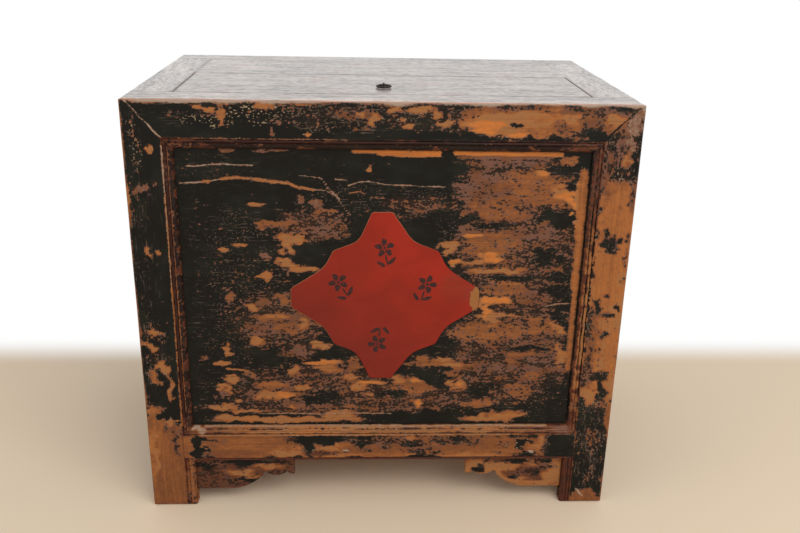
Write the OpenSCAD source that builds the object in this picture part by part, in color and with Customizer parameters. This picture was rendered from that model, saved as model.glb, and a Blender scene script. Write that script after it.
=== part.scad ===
// Lacquered pine storage trunk: four L-section corner posts, mitred and beaded frames with
// floating panels, a lift-out lid board let into the top, and an iron ring pull.
// Millimetres. Origin on the floor under the middle of the trunk, +X right, +Y back, +Z up.

/* [Overall] */
// Width over the corner posts
trunk_w = 915; // [780:1:1100]
// Depth over the corner posts
trunk_d = 590; // [500:1:700]
// Height from the floor to the top
trunk_h = 823; // [740:1:910]
// Radius of the worn vertical corners
corner_r = 4; // [2:0.5:6]
// Radius of the worn arris round the top
arris_r = 5; // [2:0.5:7]
// Radius of the worn outer edges of the soles
sole_r = 5; // [2:0.5:8]

/* [Frame] */
// Width of each post on its face, moulding included
post_face = 87; // [80:1:110]
// Thickness of the posts' two arms and of the rails
frame_t = 26; // [25:1:32]
// Height of the top rails on their face, moulding included
rail_top_h = 87; // [76:1:87]
// Height of the lower rails on their face, mouldings included
rail_low_h = 76.5; // [72:0.5:90]
// Clear height under the lower rails
foot_h = 104.5; // [88:0.5:128]
// How far the panels lie behind the frame's face
panel_recess = 10; // [10:0.5:11]

/* [Moulding] */
// Width of the fine bead with the quirk on each side of it
fine_w = 9; // [8:0.5:10]
// Radius of the fine bead
fine_r = 3.3; // [2.4:0.1:3.4]
// Depth of the quirks beside the fine bead
quirk_d = 2.4; // [1.6:0.1:2.8]
// Width of the thumb bead and the fillet beside it
thumb_w = 10; // [9.5:0.5:12]
// Depth down to which the thumb bead rolls at the panel
thumb_d = 9; // [8:0.5:9.5]
// Width of the bead along the lower rail's lower edge with its quirk
edge_w = 6.5; // [5.5:0.5:8]
// Radius of that bead
edge_r = 2.4; // [1.8:0.1:2.5]
// How far the thumb bead's crest lies under the frame's face
thumb_drop = 0.6; // [0.3:0.1:1]

/* [Joints] */
// Thickness of the rails' tenons
tenon_t = 9; // [7:0.5:10]
// Length of the tenons from the posts' inner edge
tenon_l = 53; // [45:1:58]
// Height of the top rails' tenons
tenon_top_h = 32; // [26:1:34]
// Height of the lower rails' tenons
tenon_low_h = 46; // [36:1:48]
// Wood between the frame's face side and the tenons, past the panels' plane
tenon_cheek = 1; // [0.5:0.5:2]
// Spare depth at the blind end of each mortise
mortise_play = 1; // [0.5:0.5:3]
// Diameter of the wooden pegs through the tenons
peg_dia = 7; // [5:0.5:8]
// Length of the pegs, driven from the inside
peg_l = 20; // [17:1:21]
// Distance of the pegs from the posts' inner edge
peg_side = 29; // [24:1:34]
// Height of the upper pegs over the panels' groove
peg_top_up = 9; // [7:0.5:12]
// Shoulder over the lower rails' tenons, under the panels' groove
tenon_low_shoulder = 6; // [5:0.5:8]

/* [Panels] */
// Thickness of the panels
panel_t = 12; // [10:0.5:14]
// Thickness of the tongue round each panel
tongue_t = 7; // [6:0.5:8]
// How far the tongue enters its groove
tongue_in = 8; // [6:0.5:9]
// Room left in the groove for the panel to swell
panel_play = 1; // [0.5:0.5:2]

/* [Brackets] */
// Length of each carved bracket along the rail
bracket_l = 197; // [180:1:210]
// Length of the flat lower edge beside the post
bracket_flat = 79; // [60:1:85]
// Drop of the bracket beside the post
bracket_drop = 72; // [60:0.5:78]
// Drop of the bracket's tip
bracket_tip_drop = 39; // [34:0.5:44]
// Drop of the two cusps between the bracket's lobes
bracket_cusp_drop = 33.5; // [26:0.5:36]
// Length of the bracket's middle lobe
bracket_lobe = 43; // [36:1:46]
// Length of the small lobe at the tip
bracket_tip = 15; // [10:0.5:18]
// Width of the curl between the belly and the first cusp
bracket_curl_w = 6; // [4:0.5:8]
// Height of that curl
bracket_curl_h = 9; // [6:0.5:11]
// Crown of the belly beside the flat edge
belly_crown = 5; // [3:0.5:7]
// Hollow of the curl
curl_hollow = 1.5; // [0.5:0.5:2]
// Crown of the middle lobe
lobe_crown = 8.5; // [6:0.5:11]
// Crown of the small lobe at the tip
tip_crown = 2.5; // [1:0.5:3]
// Thickness of the brackets
bracket_t = 14; // [10:0.5:15]
// How far the brackets lie behind the frame's face
bracket_recess = 11; // [8:0.5:11]
// Thickness of the tongue that holds a bracket in the rail
bracket_tongue_t = 6; // [4:0.5:7]
// Height of that tongue
bracket_tongue_h = 6; // [4:0.5:8]

/* [Top] */
// Thickness of the top boards
top_t = 22; // [19:1:24]
// Depth of the board along the front of the top
top_front_d = 75; // [64:1:95]
// Width of the end members of the top
top_end_w = 78; // [65:0.5:90]
// Depth of the board along the back of the top
top_back_d = 70; // [60:1:85]
// Depth of the opening that the lid fills
lid_opening_d = 232; // [200:1:260]

/* [Lid] */
// Gap between the lid and the boards round it
lid_gap = 1.2; // [0.8:0.1:2]
// Air under the lid where it lies over its ledges
lid_seat = 0.2; // [0.1:0.1:0.3]
// Width of the battens under the lid
batten_w = 34; // [25:1:45]
// Thickness of the battens
batten_t = 18; // [15:1:22]
// Distance of the battens from the middle of the lid
batten_x = 250; // [200:5:270]
// Room between a batten's end and the ledge
batten_clear = 6; // [3:1:12]

/* [Ledges] */
// Width of the ledge strips under the top
ledge_w = 32; // [30:1:40]
// Thickness of the ledge strips
ledge_t = 16; // [13:1:20]
// How far a ledge reaches under the lid
ledge_reach = 12; // [8:1:14]

/* [Nails] */
// Diameter of the nails' shanks
nail_dia = 3; // [2.5:0.1:3.5]
// Diameter of the nails' heads
nail_head_dia = 7; // [5:0.5:8]
// Thickness of the nails' heads
nail_head_t = 1.2; // [0.8:0.1:1.6]
// Length of the nails in the ledges and battens
nail_l = 28; // [25:1:29]
// Length of the nails in the bottom's bearers
bearer_nail_l = 40; // [34:1:42]
// Largest distance between two nails of a row
nail_pitch = 200; // [150:5:240]
// Distance of the first nail from the end of its strip
nail_end = 40; // [25:5:60]

/* [Ring pull] */
// How far the pull sits in front of the lid's middle
pull_forward = 30; // [0:1:50]
// Outer diameter of the ring
ring_dia = 30; // [28:0.5:40]
// Diameter of the ring's wire
ring_wire = 3.8; // [3.2:0.1:4.6]
// Clearance round the wire inside the staple
staple_clear = 0.4; // [0.3:0.05:0.6]
// Thickness of the staple's bent strap
staple_t = 1.8; // [1.6:0.1:2.6]
// Width of the staple's strap
staple_w = 4; // [3:0.1:5]
// Length of each leg clenched under the lid
clench_l = 12; // [8:0.5:16]
// Diameter of the iron washer under the staple
washer_dia = 20; // [18:0.5:24]
// Thickness of the washer
washer_t = 1; // [0.8:0.1:2]

/* [Medallion] */
// Width of the medallion over its side tips
medallion_w = 355; // [320:1:370]
// Height of the medallion over its upper and lower tips
medallion_h = 338; // [310:1:350]
// Height of its middle above the floor
medallion_z = 452.5; // [440:0.5:470]
// How far its middle lies to the right of the trunk's
medallion_x = 5; // [-6:1:6]
// Half width of the blunt tips
medallion_tip = 23; // [16:0.5:28]
// How far the bays start outside that half width
nose_reach = 3; // [1:0.5:5]
// How far the side bays end over it
side_nose_lift = 2; // [0:0.5:4]
// Distance of the shoulders from the medallion's two axes
medallion_shoulder = 96; // [88:1:100]
// How far the shoulders' points lie over that distance
shoulder_lift = 2; // [0:0.5:4]
// Distance from the upright axis at which the bays beside the upper and lower tips bend
bay_bend_x = 57; // [50:0.5:64]
// Distance of those bends from the level axis
bay_bend_z = 113.5; // [106:0.5:122]
// Distance from the upright axis at which the bays beside the side tips bend
side_bend_x = 115; // [108:0.5:124]
// Distance of those bends from the level axis
side_bend_z = 60; // [54:0.5:68]
// Length over which a bay bends, to each side of the bend
bay_ease = 17; // [10:0.5:20]
// Width of the worn corners beside each blunt tip
medallion_nose_w = 8; // [5:0.5:10]
// Height of those corners
medallion_nose_h = 7; // [5:0.5:9]
// Length of the worn corners at the side tips
medallion_side_l = 9; // [6:0.5:12]
// Height of those corners
medallion_side_h = 12; // [8:0.5:14]
// Width and height of the point of each shoulder
shoulder_w = 7; // [4:0.5:9]
// Roundness of the upper and lower tips' corners
nose_crown = 1.6; // [0.8:0.1:2]
// Roundness of the side tips' corners
side_crown = 2.4; // [1:0.1:3]
// Roundness of the shoulders
shoulder_crown = 1.2; // [0.6:0.1:1.8]
// How far the medallion stands off the panel
medallion_relief = 1; // [0.6:0.1:2]

/* [Bottom] */
// Thickness of the bottom boards
bottom_t = 14; // [12:1:16]
// Width of the strips that carry the bottom
bearer_w = 24; // [20:1:30]
// Height of the strips that carry the bottom
bearer_t = 18; // [14:1:20]
// Gap between the bottom boards and the frame
bottom_gap = 1; // [0.5:0.5:2]

/* [Hidden] */
$fn = 64;

// Colours of the finishes
lacquer = "#2a231e";
worn_wood = "#a5682f";
top_wood = "#8d8177";
raw_wood = "#b98c5c";
vermilion = "#a12c22";
iron = "#2b2a28";

// Reach of the cutters past the faces that they cut
over = 1;

// Faces of the trunk and of the frame
half_w = trunk_w / 2;
half_d = trunk_d / 2;
inner_w = half_w - frame_t;
inner_d = half_d - frame_t;
rail_bottom = foot_h;
rail_crest = foot_h + rail_low_h;
head_bottom = trunk_h - rail_top_h;
moulding_w = fine_w + thumb_w;
thumb_r = thumb_d - thumb_drop;
bead_crest = 0.2;
quirk_slope = 0.3;

// Tenons and pegs
groove_in = tongue_in + panel_play;
tenon_y = panel_recess + tenon_cheek + tenon_t / 2;
tenon_top_z = head_bottom + groove_in + tenon_top_h / 2;
tenon_low_z = rail_crest - groove_in - tenon_low_shoulder - tenon_low_h / 2;
peg_top_z = head_bottom + groove_in + peg_top_up;

// The top layer and the opening in it
top_under = trunk_h - top_t;
opening_x = half_w - top_end_w;
opening_front = -half_d + top_front_d;
opening_back = opening_front + lid_opening_d;
opening_y = (opening_front + opening_back) / 2;
back_board_front = half_d - top_back_d;
lid_under = top_under + lid_seat;
batten_under = lid_under - batten_t;

// The ledges under the top
ledge_under = top_under - ledge_t;
ledge_x = opening_x - ledge_reach;
ledge_front_y = opening_front + ledge_reach;
ledge_middle_y = opening_back - ledge_reach;
ledge_nail_in = (ledge_w - ledge_reach) / 2;

// The bottom
bottom_under = foot_h + bearer_t;
bottom_x = inner_w - bottom_gap;
bottom_y = inner_d - bottom_gap;
bottom_board_d = 2 * bottom_y / 3;

// The ring pull, hinged on its own wire in the middle of the staple
pull_y = opening_y - pull_forward;
ring_r = (ring_dia - ring_wire) / 2;
ring_sag = ring_r - sqrt(ring_r * ring_r - staple_w * staple_w / 4);
staple_r = ring_wire / 2 + ring_sag + staple_clear;
staple_z = trunk_h + washer_t + staple_r;
leg_y = staple_r + staple_t / 2;
leg_hole_r = norm([staple_t, staple_w]) / 2;

// Points along the arc from p to q that bulges by sag to the left of its chord
function arc(p, q, sag, n = 12) =
    let (
        chord = norm(q - p),
        along = (q - p) / chord,
        left = [-along[1], along[0]],
        bulge = abs(sag),
        r = (chord * chord / 4 + bulge * bulge) / (2 * bulge),
        half = asin(chord / 2 / r)
    )
    [for (i = [0 : n])
        let (a = half * (2 * i / n - 1))
        (p + q) / 2 + along * r * sin(a) + left * sign(sag) * (r * cos(a) - r + bulge)];

// Places of the nails of a row from a to b
function nail_row(a, b) =
    let (n = ceil((b - a) / nail_pitch))
    [for (i = [0 : n]) a + (b - a) * i / n];

// General shapes

module box(low, high) {
    translate(low) cube(high - low);
}

// A shape drawn in x and z, as thick as t, running back from the plane y = 0
module upright(t) {
    translate([0, t, 0]) rotate([90, 0, 0]) linear_extrude(t) children();
}

// A section drawn in y and z, swept over the length l around x = 0
module along_x(l) {
    rotate([90, 0, 90]) linear_extrude(l, center = true) children();
}

module round_rect(w, h, r) {
    square([w - 2 * r, h], center = true);
    square([w, h - 2 * r], center = true);
    for (sx = [-1, 1], sy = [-1, 1])
        translate([sx * (w / 2 - r), sy * (h / 2 - r)]) circle(r);
}

// The four sides of the trunk: what is drawn on the front is turned to the others
module on_front() { children(); }
module on_back() { rotate(180) children(); }
module on_left() { rotate(-90) children(); }
module on_right() { rotate(90) children(); }

// The outline of a face from floor to top, worn round at the soles and the arris
module face_outline(w) {
    translate([-w / 2 + sole_r, 0]) square([w - 2 * sole_r, sole_r + over]);
    translate([-w / 2, sole_r]) square([w, trunk_h - sole_r - arris_r]);
    translate([-w / 2 + arris_r, trunk_h - arris_r - over]) square([w - 2 * arris_r, arris_r + over]);
    for (s = [-1, 1]) {
        translate([s * (w / 2 - sole_r), sole_r]) circle(sole_r);
        translate([s * (w / 2 - arris_r), trunk_h - arris_r]) circle(arris_r);
    }
}

// Keeps only what lies inside the worn outer edges of the trunk
module worn() {
    intersection() {
        linear_extrude(trunk_h) round_rect(trunk_w, trunk_d, corner_r);
        translate([0, -half_d, 0]) upright(trunk_d) face_outline(trunk_w);
        along_x(trunk_w) face_outline(trunk_d);
        children();
    }
}

// The layer of top boards, mitred down to the rails along all four arrises, or with extra
// the cutter for it
module top_layer(extra = 0) {
    intersection() {
        translate([0, -half_d - extra, 0]) upright(trunk_d + 2 * extra) top_layer_section(half_w, extra);
        along_x(trunk_w + 2 * extra) top_layer_section(half_d, extra);
    }
}

module top_layer_section(half, extra) {
    polygon([
        [-half - extra, trunk_h + extra], [half + extra, trunk_h + extra],
        [half - top_t, top_under], [-half + top_t, top_under]
    ]);
}

// Mouldings. The waste is what the scratch stock takes off a member: x runs in from its
// inner edge and y down from its face.

module moulding_waste() {
    difference() {
        translate([-over, -over]) square([thumb_r + over, thumb_d + over]);
        translate([thumb_r, thumb_d]) circle(thumb_r);
    }
    translate([thumb_r, -over]) square([thumb_w - thumb_r, thumb_drop + over]);
    translate([thumb_w, 0]) difference() {
        polygon([
            [0, -over], [0, thumb_drop], [fine_w / 2 - fine_r + quirk_slope, quirk_d],
            [fine_w / 2 + fine_r - quirk_slope, quirk_d], [fine_w, 0], [fine_w, -over]
        ]);
        translate([fine_w / 2, fine_r + bead_crest]) circle(fine_r);
    }
}

// The small bead along a lower edge, rounded on to the underside
module edge_bead_waste() {
    difference() {
        polygon([
            [-over, -over], [-over, edge_r], [edge_r, edge_r],
            [2 * edge_r - quirk_slope, edge_r], [edge_w, 0], [edge_w, -over]
        ]);
        translate([edge_r, edge_r + bead_crest]) circle(edge_r);
    }
}

// Joints of one side, drawn on the front of a trunk of width w and depth d

function field_x(w) = w / 2 - post_face;

// The top rail's face, mitred from the panel's corners up to the arris and extra past it
module top_rail_field(w, extra = 0) {
    x = field_x(w);
    top_x = x + rail_top_h + extra;
    polygon([
        [-x, head_bottom], [x, head_bottom],
        [top_x, trunk_h + extra], [-top_x, trunk_h + extra]
    ]);
}

// The lower rail's face, mitred into the posts' mouldings at its four corners
module lower_rail_field(w) {
    x = field_x(w);
    flat_x = x + moulding_w;
    low_x = flat_x - edge_w;
    polygon([
        [-x, rail_crest], [x, rail_crest],
        [flat_x, rail_crest - moulding_w], [flat_x, rail_bottom + edge_w],
        [low_x, rail_bottom], [-low_x, rail_bottom],
        [-flat_x, rail_bottom + edge_w], [-flat_x, rail_crest - moulding_w]
    ]);
}

// Where the top rails meet round the corner, each keeps to its own side of this mitre
module corner_mitre(w, d) {
    linear_extrude(trunk_h) polygon([
        [-w / 2, -d / 2], [w / 2, -d / 2],
        [w / 2 - frame_t, -d / 2 + frame_t], [-w / 2 + frame_t, -d / 2 + frame_t]
    ]);
}

// Both end tenons of a rail, or with play the mortises for them
module tenons(w, d, z, h, play = 0) {
    l = tenon_l + play;
    for (s = [-1, 1])
        translate([s * (field_x(w) + l / 2), -d / 2 + tenon_y, z]) cube([l, tenon_t, h], center = true);
}

// The pegs of one side, driven from the inside, or with extra the drill for their holes
module pegs(w, d, extra = 0) {
    for (s = [-1, 1], z = [tenon_low_z, peg_top_z])
        translate([s * (field_x(w) + peg_side), -d / 2 + frame_t + extra, z])
            rotate([90, 0, 0]) cylinder(d = peg_dia, h = peg_l + extra);
}

module all_pegs(extra = 0) {
    on_front() pegs(trunk_w, trunk_d, extra);
    on_back() pegs(trunk_w, trunk_d, extra);
    on_left() pegs(trunk_d, trunk_w, extra);
    on_right() pegs(trunk_d, trunk_w, extra);
}

// The lower ends of the posts' grooves, where the lower rail's face lies over them
module groove_ends(w) {
    x = field_x(w);
    low = rail_crest - groove_in;
    for (s = [-1, 1])
        polygon([[s * x, rail_crest], [s * (x + groove_in), low], [s * x, low]]);
}

// What the frame of one side takes out of the posts
module frame_cuts(w, d, beaded) {
    groove_low = rail_crest - groove_in;
    groove_h = head_bottom + groove_in - groove_low;
    translate([0, -d / 2 - over, 0]) {
        upright(frame_t + 2 * over) top_rail_field(w, over);
        if (beaded) {
            upright(panel_recess + over) lower_rail_field(w);
            upright(over + panel_recess + tongue_t) groove_ends(w);
        }
    }
    tenons(w, d, tenon_top_z, tenon_top_h, mortise_play);
    tenons(w, d, tenon_low_z, tenon_low_h, mortise_play);
    for (s = [-1, 1])
        translate([s * field_x(w) - groove_in, -d / 2 + panel_recess, groove_low])
            cube([2 * groove_in, tongue_t, groove_h]);
}

// Posts

// Section of the front left post; the arm on the trunk's back stays plain
module post_section(front_beaded) {
    difference() {
        translate([-half_w, -half_d]) {
            square([post_face, frame_t]);
            square([frame_t, post_face]);
        }
        if (front_beaded)
            translate([-half_w + post_face, -half_d]) mirror([1, 0]) moulding_waste();
        translate([-half_w, -half_d + post_face]) rotate(-90) moulding_waste();
    }
}

module post(right, back) {
    color(lacquer) worn() difference() {
        mirror([right ? 1 : 0, 0, 0]) mirror([0, back ? 1 : 0, 0])
            linear_extrude(trunk_h) post_section(!back);
        if (back)
            on_back() frame_cuts(trunk_w, trunk_d, false);
        else
            on_front() frame_cuts(trunk_w, trunk_d, true);
        if (right)
            on_right() frame_cuts(trunk_d, trunk_w, true);
        else
            on_left() frame_cuts(trunk_d, trunk_w, true);
        top_layer(over);
        all_pegs(over);
    }
}

// Rails, drawn on the front of a trunk of width w and depth d

module top_rail_section(beaded) {
    difference() {
        polygon([
            [0, head_bottom], [frame_t, head_bottom], [frame_t, top_under],
            [top_t, top_under], [0, trunk_h]
        ]);
        if (beaded)
            translate([0, head_bottom]) mirror([1, -1]) moulding_waste();
        translate([panel_recess, head_bottom - over]) square([tongue_t, groove_in + over]);
    }
}

module lower_rail_section(beaded) {
    difference() {
        translate([0, rail_bottom]) square([frame_t, rail_low_h]);
        if (beaded) {
            translate([0, rail_crest]) rotate(-90) moulding_waste();
            translate([0, rail_bottom]) mirror([1, -1]) edge_bead_waste();
        }
        translate([panel_recess, rail_crest - groove_in]) square([tongue_t, groove_in + over]);
    }
}

module top_rail(w, d, beaded) {
    color(lacquer) difference() {
        union() {
            intersection() {
                translate([0, -d / 2, 0]) along_x(w) top_rail_section(beaded);
                translate([0, -d / 2, 0]) upright(frame_t) top_rail_field(w);
                corner_mitre(w, d);
            }
            tenons(w, d, tenon_top_z, tenon_top_h);
        }
        pegs(w, d, over);
    }
}

module lower_rail(w, d, beaded) {
    x = field_x(w);
    color(lacquer) difference() {
        union() {
            translate([0, -d / 2, 0]) intersection() {
                along_x(w) lower_rail_section(beaded);
                union() {
                    if (beaded)
                        upright(panel_recess) lower_rail_field(w);
                    box([-x, 0, 0], [x, frame_t, trunk_h]);
                }
            }
            tenons(w, d, tenon_low_z, tenon_low_h);
        }
        pegs(w, d, over);
    }
}

// Panels, drawn on the front as well

module panel(w, d) {
    x = field_x(w);
    y = -d / 2 + panel_recess;
    color(lacquer) {
        box([-x, y, rail_crest], [x, y + panel_t, head_bottom]);
        box(
            [-x - tongue_in, y, rail_crest - tongue_in],
            [x + tongue_in, y + tongue_t, head_bottom + tongue_in]
        );
    }
}

// Carved brackets under the front rail

// Outline of the right bracket: x runs from the post towards the tip, y down from the rail
module bracket_outline() {
    tip_x = bracket_l - bracket_tip;
    lobe_x = tip_x - bracket_lobe;
    belly_x = lobe_x - bracket_curl_w;
    belly_drop = bracket_cusp_drop + bracket_curl_h;
    polygon(concat(
        [[0, 0], [0, bracket_drop]],
        arc([bracket_flat, bracket_drop], [belly_x, belly_drop], belly_crown),
        arc([belly_x, belly_drop], [lobe_x, bracket_cusp_drop], -curl_hollow, 4),
        arc([lobe_x, bracket_cusp_drop], [tip_x, bracket_cusp_drop], lobe_crown),
        arc([tip_x, bracket_cusp_drop], [bracket_l, bracket_tip_drop], tip_crown, 6),
        [[bracket_l, 0]]
    ));
}

// The tongue along a bracket's upper edge, or the groove for it
module bracket_tongues() {
    y = -half_d + bracket_recess + (bracket_t - bracket_tongue_t) / 2;
    for (s = [0, 1])
        mirror([s, 0, 0])
            box(
                [field_x(trunk_w) - bracket_l, y, rail_bottom - over],
                [field_x(trunk_w), y + bracket_tongue_t, rail_bottom + bracket_tongue_h]
            );
}

module bracket(left) {
    color(worn_wood) mirror([left ? 1 : 0, 0, 0]) {
        translate([field_x(trunk_w), -half_d + bracket_recess, rail_bottom])
            upright(bracket_t) rotate(180) bracket_outline();
        intersection() {
            bracket_tongues();
            box([0, -half_d, 0], [half_w, half_d, trunk_h]);
        }
    }
}

// The medallion on the front panel

// Points along the way from p to r that bends at q, eased over the length l to each side of it
function bend(p, q, r, l, n = 12) =
    let (
        start = q + l * (p - q) / norm(p - q),
        end = q + l * (r - q) / norm(r - q)
    )
    [for (i = [0 : n])
        let (t = i / n)
        (1 - t) * (1 - t) * start + 2 * t * (1 - t) * q + t * t * end];

// One quarter of the outline, from the upper tip round to the right tip
function medallion_quarter() =
    let (
        top = medallion_h / 2,
        side = medallion_w / 2,
        nose = [medallion_tip + nose_reach, top - medallion_nose_h],
        shoulder_top = [medallion_shoulder - shoulder_w / 2, medallion_shoulder + shoulder_lift],
        shoulder_side = shoulder_top + [shoulder_w, -shoulder_w],
        side_nose = [side - medallion_side_l, medallion_tip + side_nose_lift]
    )
    concat(
        arc([nose[0] - medallion_nose_w, top], nose, nose_crown, 5),
        bend(nose, [bay_bend_x, bay_bend_z], shoulder_top, bay_ease),
        arc(shoulder_top, shoulder_side, shoulder_crown, 4),
        bend(shoulder_side, [side_bend_x, side_bend_z], side_nose, bay_ease),
        arc(side_nose, [side, side_nose[1] - medallion_side_h], side_crown, 5)
    );

function reversed(list) = [for (i = [len(list) - 1 : -1 : 0]) list[i]];

module medallion() {
    quarter = medallion_quarter();
    turned = reversed(quarter);
    color(vermilion) translate([medallion_x, -half_d + panel_recess - medallion_relief, medallion_z])
        upright(medallion_relief) polygon(concat(
            quarter,
            [for (p = turned) [p[0], -p[1]]],
            [for (p = quarter) -p],
            [for (p = turned) [-p[0], p[1]]]
        ));
}

// Top boards

module top_board(low, high) {
    color(top_wood) worn() intersection() {
        top_layer();
        box([low[0], low[1], top_under], [high[0], high[1], trunk_h]);
    }
}

// Ledges under the top, with the lid's four edges over them

// A nail from below, its head against the plane z
module nail_up(p, z, l) {
    translate([p[0], p[1], z]) {
        cylinder(d = nail_dia, h = l);
        translate([0, 0, -nail_head_t]) cylinder(d = nail_head_dia, h = nail_head_t);
    }
}

module ledge_nails() {
    front_y = ledge_front_y - ledge_w + ledge_nail_in;
    middle_y = ledge_middle_y + ledge_w - ledge_nail_in;
    side_x = ledge_x + ledge_w - ledge_nail_in;
    for (x = nail_row(-inner_w + nail_end, inner_w - nail_end))
        nail_up([x, front_y], ledge_under, nail_l);
    for (x = nail_row(-ledge_x + nail_end, ledge_x - nail_end))
        nail_up([x, middle_y], ledge_under, nail_l);
    for (s = [-1, 1], y = nail_row(ledge_front_y + nail_end, back_board_front - nail_end))
        nail_up([s * side_x, y], ledge_under, nail_l);
}

module ledge(low, high) {
    color(raw_wood) difference() {
        box([low[0], low[1], ledge_under], [high[0], high[1], top_under]);
        ledge_nails();
    }
}

// The bottom and the strips that carry it

// The nails of the strip along one side, from the inside into the lower rail
module bearer_nails_on(w, d, row_w) {
    for (x = nail_row(-row_w + nail_end, row_w - nail_end))
        translate([x, -d / 2 + frame_t + bearer_w, foot_h + bearer_t / 2]) rotate([90, 0, 0]) {
            cylinder(d = nail_dia, h = bearer_nail_l);
            translate([0, 0, -nail_head_t]) cylinder(d = nail_head_dia, h = nail_head_t);
        }
}

module bearer_nails() {
    on_front() bearer_nails_on(trunk_w, trunk_d, field_x(trunk_w));
    on_back() bearer_nails_on(trunk_w, trunk_d, field_x(trunk_w));
    on_left() bearer_nails_on(trunk_d, trunk_w, field_x(trunk_d));
    on_right() bearer_nails_on(trunk_d, trunk_w, field_x(trunk_d));
}

module bearer(low, high) {
    color(raw_wood) difference() {
        box([low[0], low[1], foot_h], [high[0], high[1], bottom_under]);
        bearer_nails();
    }
}

// The board numbered from the front
module bottom_board(i) {
    y = -bottom_y + i * bottom_board_d;
    color(raw_wood)
        box([-bottom_x, y, bottom_under], [bottom_x, y + bottom_board_d, bottom_under + bottom_t]);
}

// The lid with its battens and its pull

module batten_nails() {
    for (s = [-1, 1], y = nail_row(ledge_front_y + nail_end, ledge_middle_y - nail_end))
        nail_up([s * batten_x, y], batten_under, nail_l);
}

// The holes for the staple's two legs
module leg_holes() {
    for (s = [-1, 1])
        translate([0, pull_y + s * leg_y, ledge_under])
            cylinder(r = leg_hole_r, h = staple_z - ledge_under);
}

module lid_board() {
    color(top_wood) difference() {
        box(
            [-opening_x + lid_gap, opening_front + lid_gap, lid_under],
            [opening_x - lid_gap, opening_back - lid_gap, trunk_h]
        );
        leg_holes();
        batten_nails();
    }
}

module lid_batten(side) {
    x = side * batten_x;
    color(raw_wood) difference() {
        box(
            [x - batten_w / 2, ledge_front_y + batten_clear, batten_under],
            [x + batten_w / 2, ledge_middle_y - batten_clear, lid_under]
        );
        batten_nails();
    }
}

module pull_washer() {
    color(iron) difference() {
        translate([0, pull_y, trunk_h]) cylinder(d = washer_dia, h = washer_t);
        leg_holes();
    }
}

// The staple seen from the end of the wire, around the ring's axis
module staple_outline() {
    leg_drop = staple_z - lid_under + staple_t;
    difference() {
        union() {
            circle(staple_r + staple_t);
            translate([-staple_r - staple_t, -leg_drop]) square([2 * (staple_r + staple_t), leg_drop]);
            translate([-staple_r - clench_l, -leg_drop]) square([2 * (staple_r + clench_l), staple_t]);
        }
        circle(staple_r);
        translate([-staple_r, -leg_drop - over]) square([2 * staple_r, leg_drop + over]);
    }
}

// A strap bent over the ring's wire, through the lid and clenched under it
module pull_staple() {
    color(iron) translate([0, pull_y, staple_z]) along_x(staple_w) staple_outline();
}

module pull_ring() {
    color(iron) translate([0, pull_y - ring_r, staple_z])
        rotate_extrude() translate([ring_r, 0]) circle(d = ring_wire);
}

post(false, false);  // post_front_left
post(true, false);  // post_front_right
post(false, true);  // post_back_left
post(true, true);  // post_back_right

worn() on_front() top_rail(trunk_w, trunk_d, true);  // top_rail_front
worn() on_back() top_rail(trunk_w, trunk_d, false);  // top_rail_back
worn() on_left() top_rail(trunk_d, trunk_w, true);  // top_rail_left
worn() on_right() top_rail(trunk_d, trunk_w, true);  // top_rail_right

difference() {  // lower_rail_front
        on_front() lower_rail(trunk_w, trunk_d, true);
        bracket_tongues();
        bearer_nails();
    }
difference() {  // lower_rail_back
        on_back() lower_rail(trunk_w, trunk_d, false);
        bearer_nails();
    }
difference() {  // lower_rail_left
        on_left() lower_rail(trunk_d, trunk_w, true);
        bearer_nails();
    }
difference() {  // lower_rail_right
        on_right() lower_rail(trunk_d, trunk_w, true);
        bearer_nails();
    }

on_front() panel(trunk_w, trunk_d);  // panel_front
on_back() panel(trunk_w, trunk_d);  // panel_back
on_left() panel(trunk_d, trunk_w);  // panel_left
on_right() panel(trunk_d, trunk_w);  // panel_right

color(raw_wood) all_pegs();  // tenon_pegs
bracket(true);  // bracket_left
bracket(false);  // bracket_right
medallion();

difference() {  // top_board_front
        top_board([-half_w, -half_d], [half_w, opening_front]);
        ledge_nails();
    }
difference() {  // top_board_middle
        top_board([-opening_x, opening_back], [opening_x, back_board_front]);
        ledge_nails();
    }
top_board([-half_w, back_board_front], [half_w, half_d]);  // top_board_back
difference() {  // top_end_left
        top_board([-half_w, opening_front], [-opening_x, back_board_front]);
        ledge_nails();
    }
difference() {  // top_end_right
        top_board([opening_x, opening_front], [half_w, back_board_front]);
        ledge_nails();
    }

ledge([-inner_w, ledge_front_y - ledge_w], [inner_w, ledge_front_y]);  // ledge_front
ledge([-ledge_x, ledge_middle_y], [ledge_x, ledge_middle_y + ledge_w]);  // ledge_middle
ledge([-ledge_x - ledge_w, ledge_front_y], [-ledge_x, inner_d]);  // ledge_left
ledge([ledge_x, ledge_front_y], [ledge_x + ledge_w, inner_d]);  // ledge_right
color(iron) ledge_nails();

bearer([-inner_w, -inner_d], [inner_w, -inner_d + bearer_w]);  // bearer_front
bearer([-inner_w, inner_d - bearer_w], [inner_w, inner_d]);  // bearer_back
bearer([-inner_w, -inner_d + bearer_w], [-inner_w + bearer_w, inner_d - bearer_w]);  // bearer_left
bearer([inner_w - bearer_w, -inner_d + bearer_w], [inner_w, inner_d - bearer_w]);  // bearer_right
color(iron) bearer_nails();
bottom_board(0);  // bottom_board_front
bottom_board(1);  // bottom_board_middle
bottom_board(2);  // bottom_board_back

lid_board();
lid_batten(-1);  // lid_batten_left
lid_batten(1);  // lid_batten_right
color(iron) batten_nails();
pull_washer();
pull_staple();
pull_ring();
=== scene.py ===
"""Looks of the lacquered storage trunk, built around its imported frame.

The shapes are drawn in millimetres, in the frame's own axes: +X right, +Y back, +Z up, with the
origin on the floor under the middle of the trunk. They go into Blender in metres.
"""
import math

import bmesh
import bpy
import numpy as np
from mathutils import Matrix, Vector, noise


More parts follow.
